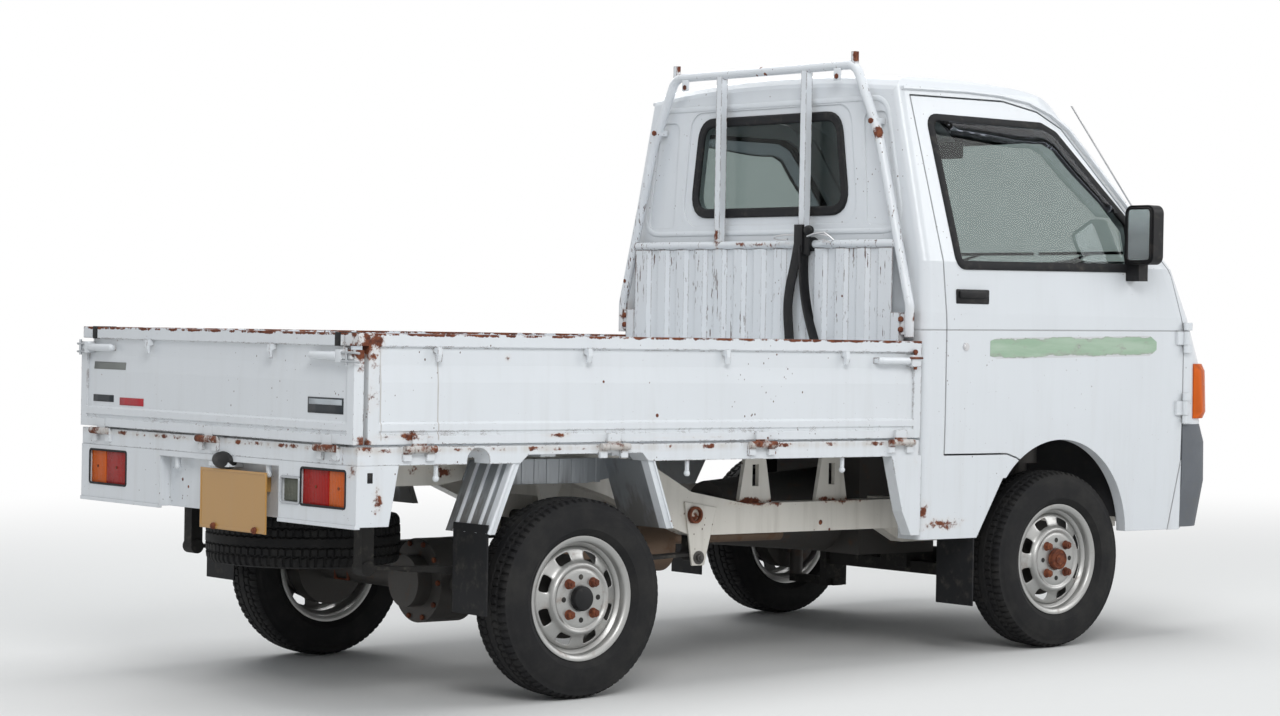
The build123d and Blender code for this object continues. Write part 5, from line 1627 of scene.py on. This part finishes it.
class TRUCK_OT_below(bpy.types.Operator):
    """Make what shows below the bed: mudguard folds, axle fittings, frame rings and spring bolts"""

    bl_idname = "truck.below"
    bl_label = "Below"

    def execute(self, context):
        folds = Shape()
        for side in (-1, 1):
            for top, foot in (((-0.236, 0.627), (-0.312, 0.445)), ((0.226, 0.627), (0.294, 0.445))):
                out = -1 if foot[0] < top[0] else 1
                for y in (0.688, 0.640, 0.590, 0.540):
                    width = 0.008 if y > 0.68 else 0.005
                    line = [Vector((top[0], side * y, top[1])), Vector((foot[0], side * y, foot[1]))]
                    slope = Vector((out * 0.92, 0, 0.38))
                    strip_along(folds, line, slope, width * 2, 0.006, closed=False)
        folds.piece("mudguard_folds", FINISHES["white_paint"], "truck", "white_paint")
        self.axle()
        self.hangers()
        return {"FINISHED"}

    def axle(self):
        """U-bolts, plates and nuts that hold the springs to the axle, and the casing's bolts."""
        parts = Shape()
        for side in (-1, 1):
            middle = side * SPRING_Y
            inner, outer = middle - 0.033, middle + 0.033
            for x in (-0.020, 0.044):
                legs = ((inner, 0.352), (inner, 0.236), (outer, 0.236), (outer, 0.352))
                parts.tube([(x, y, z) for y, z in legs], 0.0058, 10)
                for y in (inner, outer):
                    parts.rod((x, y, 0.346), (x, y, 0.362), 0.0105, 6)
            parts.box((-0.036, middle - 0.045, 0.3405), (0.060, middle + 0.045, 0.3485))
        for step in range(10):
            angle = 2 * math.pi * step / 10
            y, z = CASING_BOLTS * math.cos(angle), LEVEL_AXLE_Z + CASING_BOLTS * math.sin(angle)
            parts.rod((-0.0530, y, z), (-0.0600, y, z), 0.0080, 6)
        parts.soften(0.0008)
        parts.piece("axle_fittings", FINISHES["rust"], "truck", "cast_metal")

    def hangers(self):
        """The rusty ring and the spring's front bolt on each hanger plate of the frame."""
        rings = Shape()
        bolts = Shape()
        for side in (-1, 1):
            outward = Matrix.Rotation(-side * math.pi / 2, 4, "X")
            rings.lathe(RING, Matrix.Translation((0.566, side * 0.461, 0.4605)) @ outward, 36)
            for start, end, radius, sides in SPRING_BOLT:
                bolts.rod((0.585, side * start, 0.340), (0.585, side * end, 0.340), radius, sides)
        bolts.soften(0.0008)
        rings.piece("frame_rings", FINISHES["rust"], "truck", "frame_paint")
        bolts.piece("spring_bolts", FINISHES["cast_metal"], "truck", "cast_metal")


CAMERA_PLACE = (-5.8494, -7.0344, 1.1079)
CAMERA_AHEAD = (0.62836, 0.77749, -0.02572)
CAMERA_LENS = 86.2
FLOOR_REACH = 30
# Where the floor starts to fade into the surround, and where it has
FLOOR_FADE = (2.6, 7.5)
SURROUND = (0.80, 0.85, 0.90)
SURROUND_STRENGTH = 0.42
RAY_KINDS = ("Camera", "Glossy", "Transmission")
# Name, place, aim, width and height, power
LIGHTS = (
    ("key light", (-4.5, -6.5, 5.5), (0, 0, 0.8), (4.0, 3.0), 330),
    ("fill light", (5.5, -5.0, 4.0), (0.4, 0, 0.8), (4.0, 3.0), 130),
    ("back light", (2.5, 6.5, 5.0), (0, 0, 0.9), (5.0, 3.0), 170),
    ("top light", (0, 0, 6.5), (0, 0, 0), (6.0, 4.0), 190),
)


def seen_directly(nodes):
    """1 for rays that show the surround: straight to the camera, mirrored or through glass."""
    rays = [nodes.node("ShaderNodeLightPath", output=f"Is {kind} Ray") for kind in RAY_KINDS]
    return rays[0].highest(rays[1]).highest(rays[2])


def fade_to_white(finish):
    """Let the floor turn into the white surround away from the truck."""
    middle = finish.node("ShaderNodeTexCoord", output=3)
    far = finish.node("ShaderNodeVectorMath", {"operation": "LENGTH"}, {0: middle}, 1)
    shown = far.rise(*FLOOR_FADE) * seen_directly(finish)
    lit = Value(finish, finish.shader.outputs[0])
    white = finish.node("ShaderNodeEmission", inputs={"Color": WHITE})
    both = finish.node("ShaderNodeMixShader", inputs={0: shown, 1: lit, 2: white})
    finish.feed(finish.output.inputs[0], both)


def build_world(scene):
    """A pale surround that lights the truck softly and shows white behind it."""
    world = bpy.data.worlds.new("pale surround")
    scene.world = world
    world.use_nodes = True
    nodes = Nodes(world.node_tree)
    soft = nodes.node("ShaderNodeBackground", inputs={"Color": SURROUND, "Strength": SURROUND_STRENGTH})
    pale = nodes.node("ShaderNodeBackground", inputs={"Color": WHITE, "Strength": 1.0})
    both = nodes.node("ShaderNodeMixShader", inputs={0: seen_directly(nodes), 1: soft, 2: pale})
    nodes.add("ShaderNodeOutputWorld", inputs={0: both})


class TRUCK_OT_stage(bpy.types.Operator):
    """Make the floor, the lights and the camera"""

    bl_idname = "truck.stage"
    bl_label = "Stage"

    def execute(self, context):
        scene = context.scene
        scene.view_settings.view_transform = "Standard"
        floor = bpy.data.meshes.new("floor")
        corners = [(x * FLOOR_REACH, y * FLOOR_REACH, 0) for x, y in ((-1, -1), (1, -1), (1, 1), (-1, 1))]
        floor.from_pydata(corners, [], [(0, 1, 2, 3)])
        ground = bpy.data.objects.new("floor", floor)
        scene.collection.objects.link(ground)
        finish = Finish("pale floor")
        fine = finish.noise(40, 3)
        ground_material = finish.surface(
            Base_Color=finish.mix(fine * 0.3, (0.74, 0.74, 0.73), (0.69, 0.69, 0.68)),
            Roughness=0.85,
        )
        fade_to_white(finish)
        floor.materials.append(ground_material)
        build_world(scene)
        for name, place, aim, size, power in LIGHTS:
            light = bpy.data.lights.new(name, "AREA")
            light.shape = "RECTANGLE"
            light.size, light.size_y = size
            light.energy = power
            lamp = bpy.data.objects.new(name, light)
            lamp.location = place
            lamp.rotation_euler = (Vector(aim) - Vector(place)).to_track_quat("-Z", "Y").to_euler()
            scene.collection.objects.link(lamp)
        settings = bpy.data.cameras.new("camera")
        settings.lens = CAMERA_LENS
        settings.sensor_width = 36
        settings.clip_end = 100
        camera = bpy.data.objects.new("camera", settings)
        camera.location = CAMERA_PLACE
        camera.rotation_mode = "QUATERNION"
        camera.rotation_quaternion = Vector(CAMERA_AHEAD).to_track_quat("-Z", "Y")
        scene.collection.objects.link(camera)
        scene.camera = camera
        return {"FINISHED"}


class TRUCK_PT_looks(bpy.types.Panel):
    """Everything that dresses the truck"""

    bl_idname = "TRUCK_PT_looks"
    bl_label = "Truck looks"
    bl_space_type = "VIEW_3D"
    bl_region_type = "UI"
    bl_category = "Truck"

    def draw(self, context):
        for group in (context.scene.truck_sizes, context.scene.truck_colours):
            for name in group.bl_rna.properties.keys():
                if name not in ("rna_type", "name"):
                    self.layout.prop(group, name)
        for step in STEPS:
            self.layout.operator(step.bl_idname)


STEPS = (
    TRUCK_OT_finishes,
    TRUCK_OT_stage,
    TRUCK_OT_strap,
    TRUCK_OT_wheels,
    TRUCK_OT_doors,
    TRUCK_OT_cab,
    TRUCK_OT_tail,
    TRUCK_OT_nose,
    TRUCK_OT_bed,
    TRUCK_OT_inside,
    TRUCK_OT_below,
)


def register():
    """Add the classes and their settings."""
    for item in (TruckSizes, TruckColours, *STEPS, TRUCK_PT_looks):
        bpy.utils.register_class(item)
    bpy.types.Scene.truck_sizes = PointerProperty(type=TruckSizes)
    bpy.types.Scene.truck_colours = PointerProperty(type=TruckColours)


def unregister():
    """Remove the classes and their settings."""
    del bpy.types.Scene.truck_sizes
    del bpy.types.Scene.truck_colours
    for item in reversed((TruckSizes, TruckColours, *STEPS, TRUCK_PT_looks)):
        bpy.utils.unregister_class(item)


def main():
    """Register the classes and run every step that dresses the truck."""
    register()
    for step in STEPS:
        group, action = step.bl_idname.split(".")
        getattr(getattr(bpy.ops, group), action)()


if __name__ == "__main__":
    main()
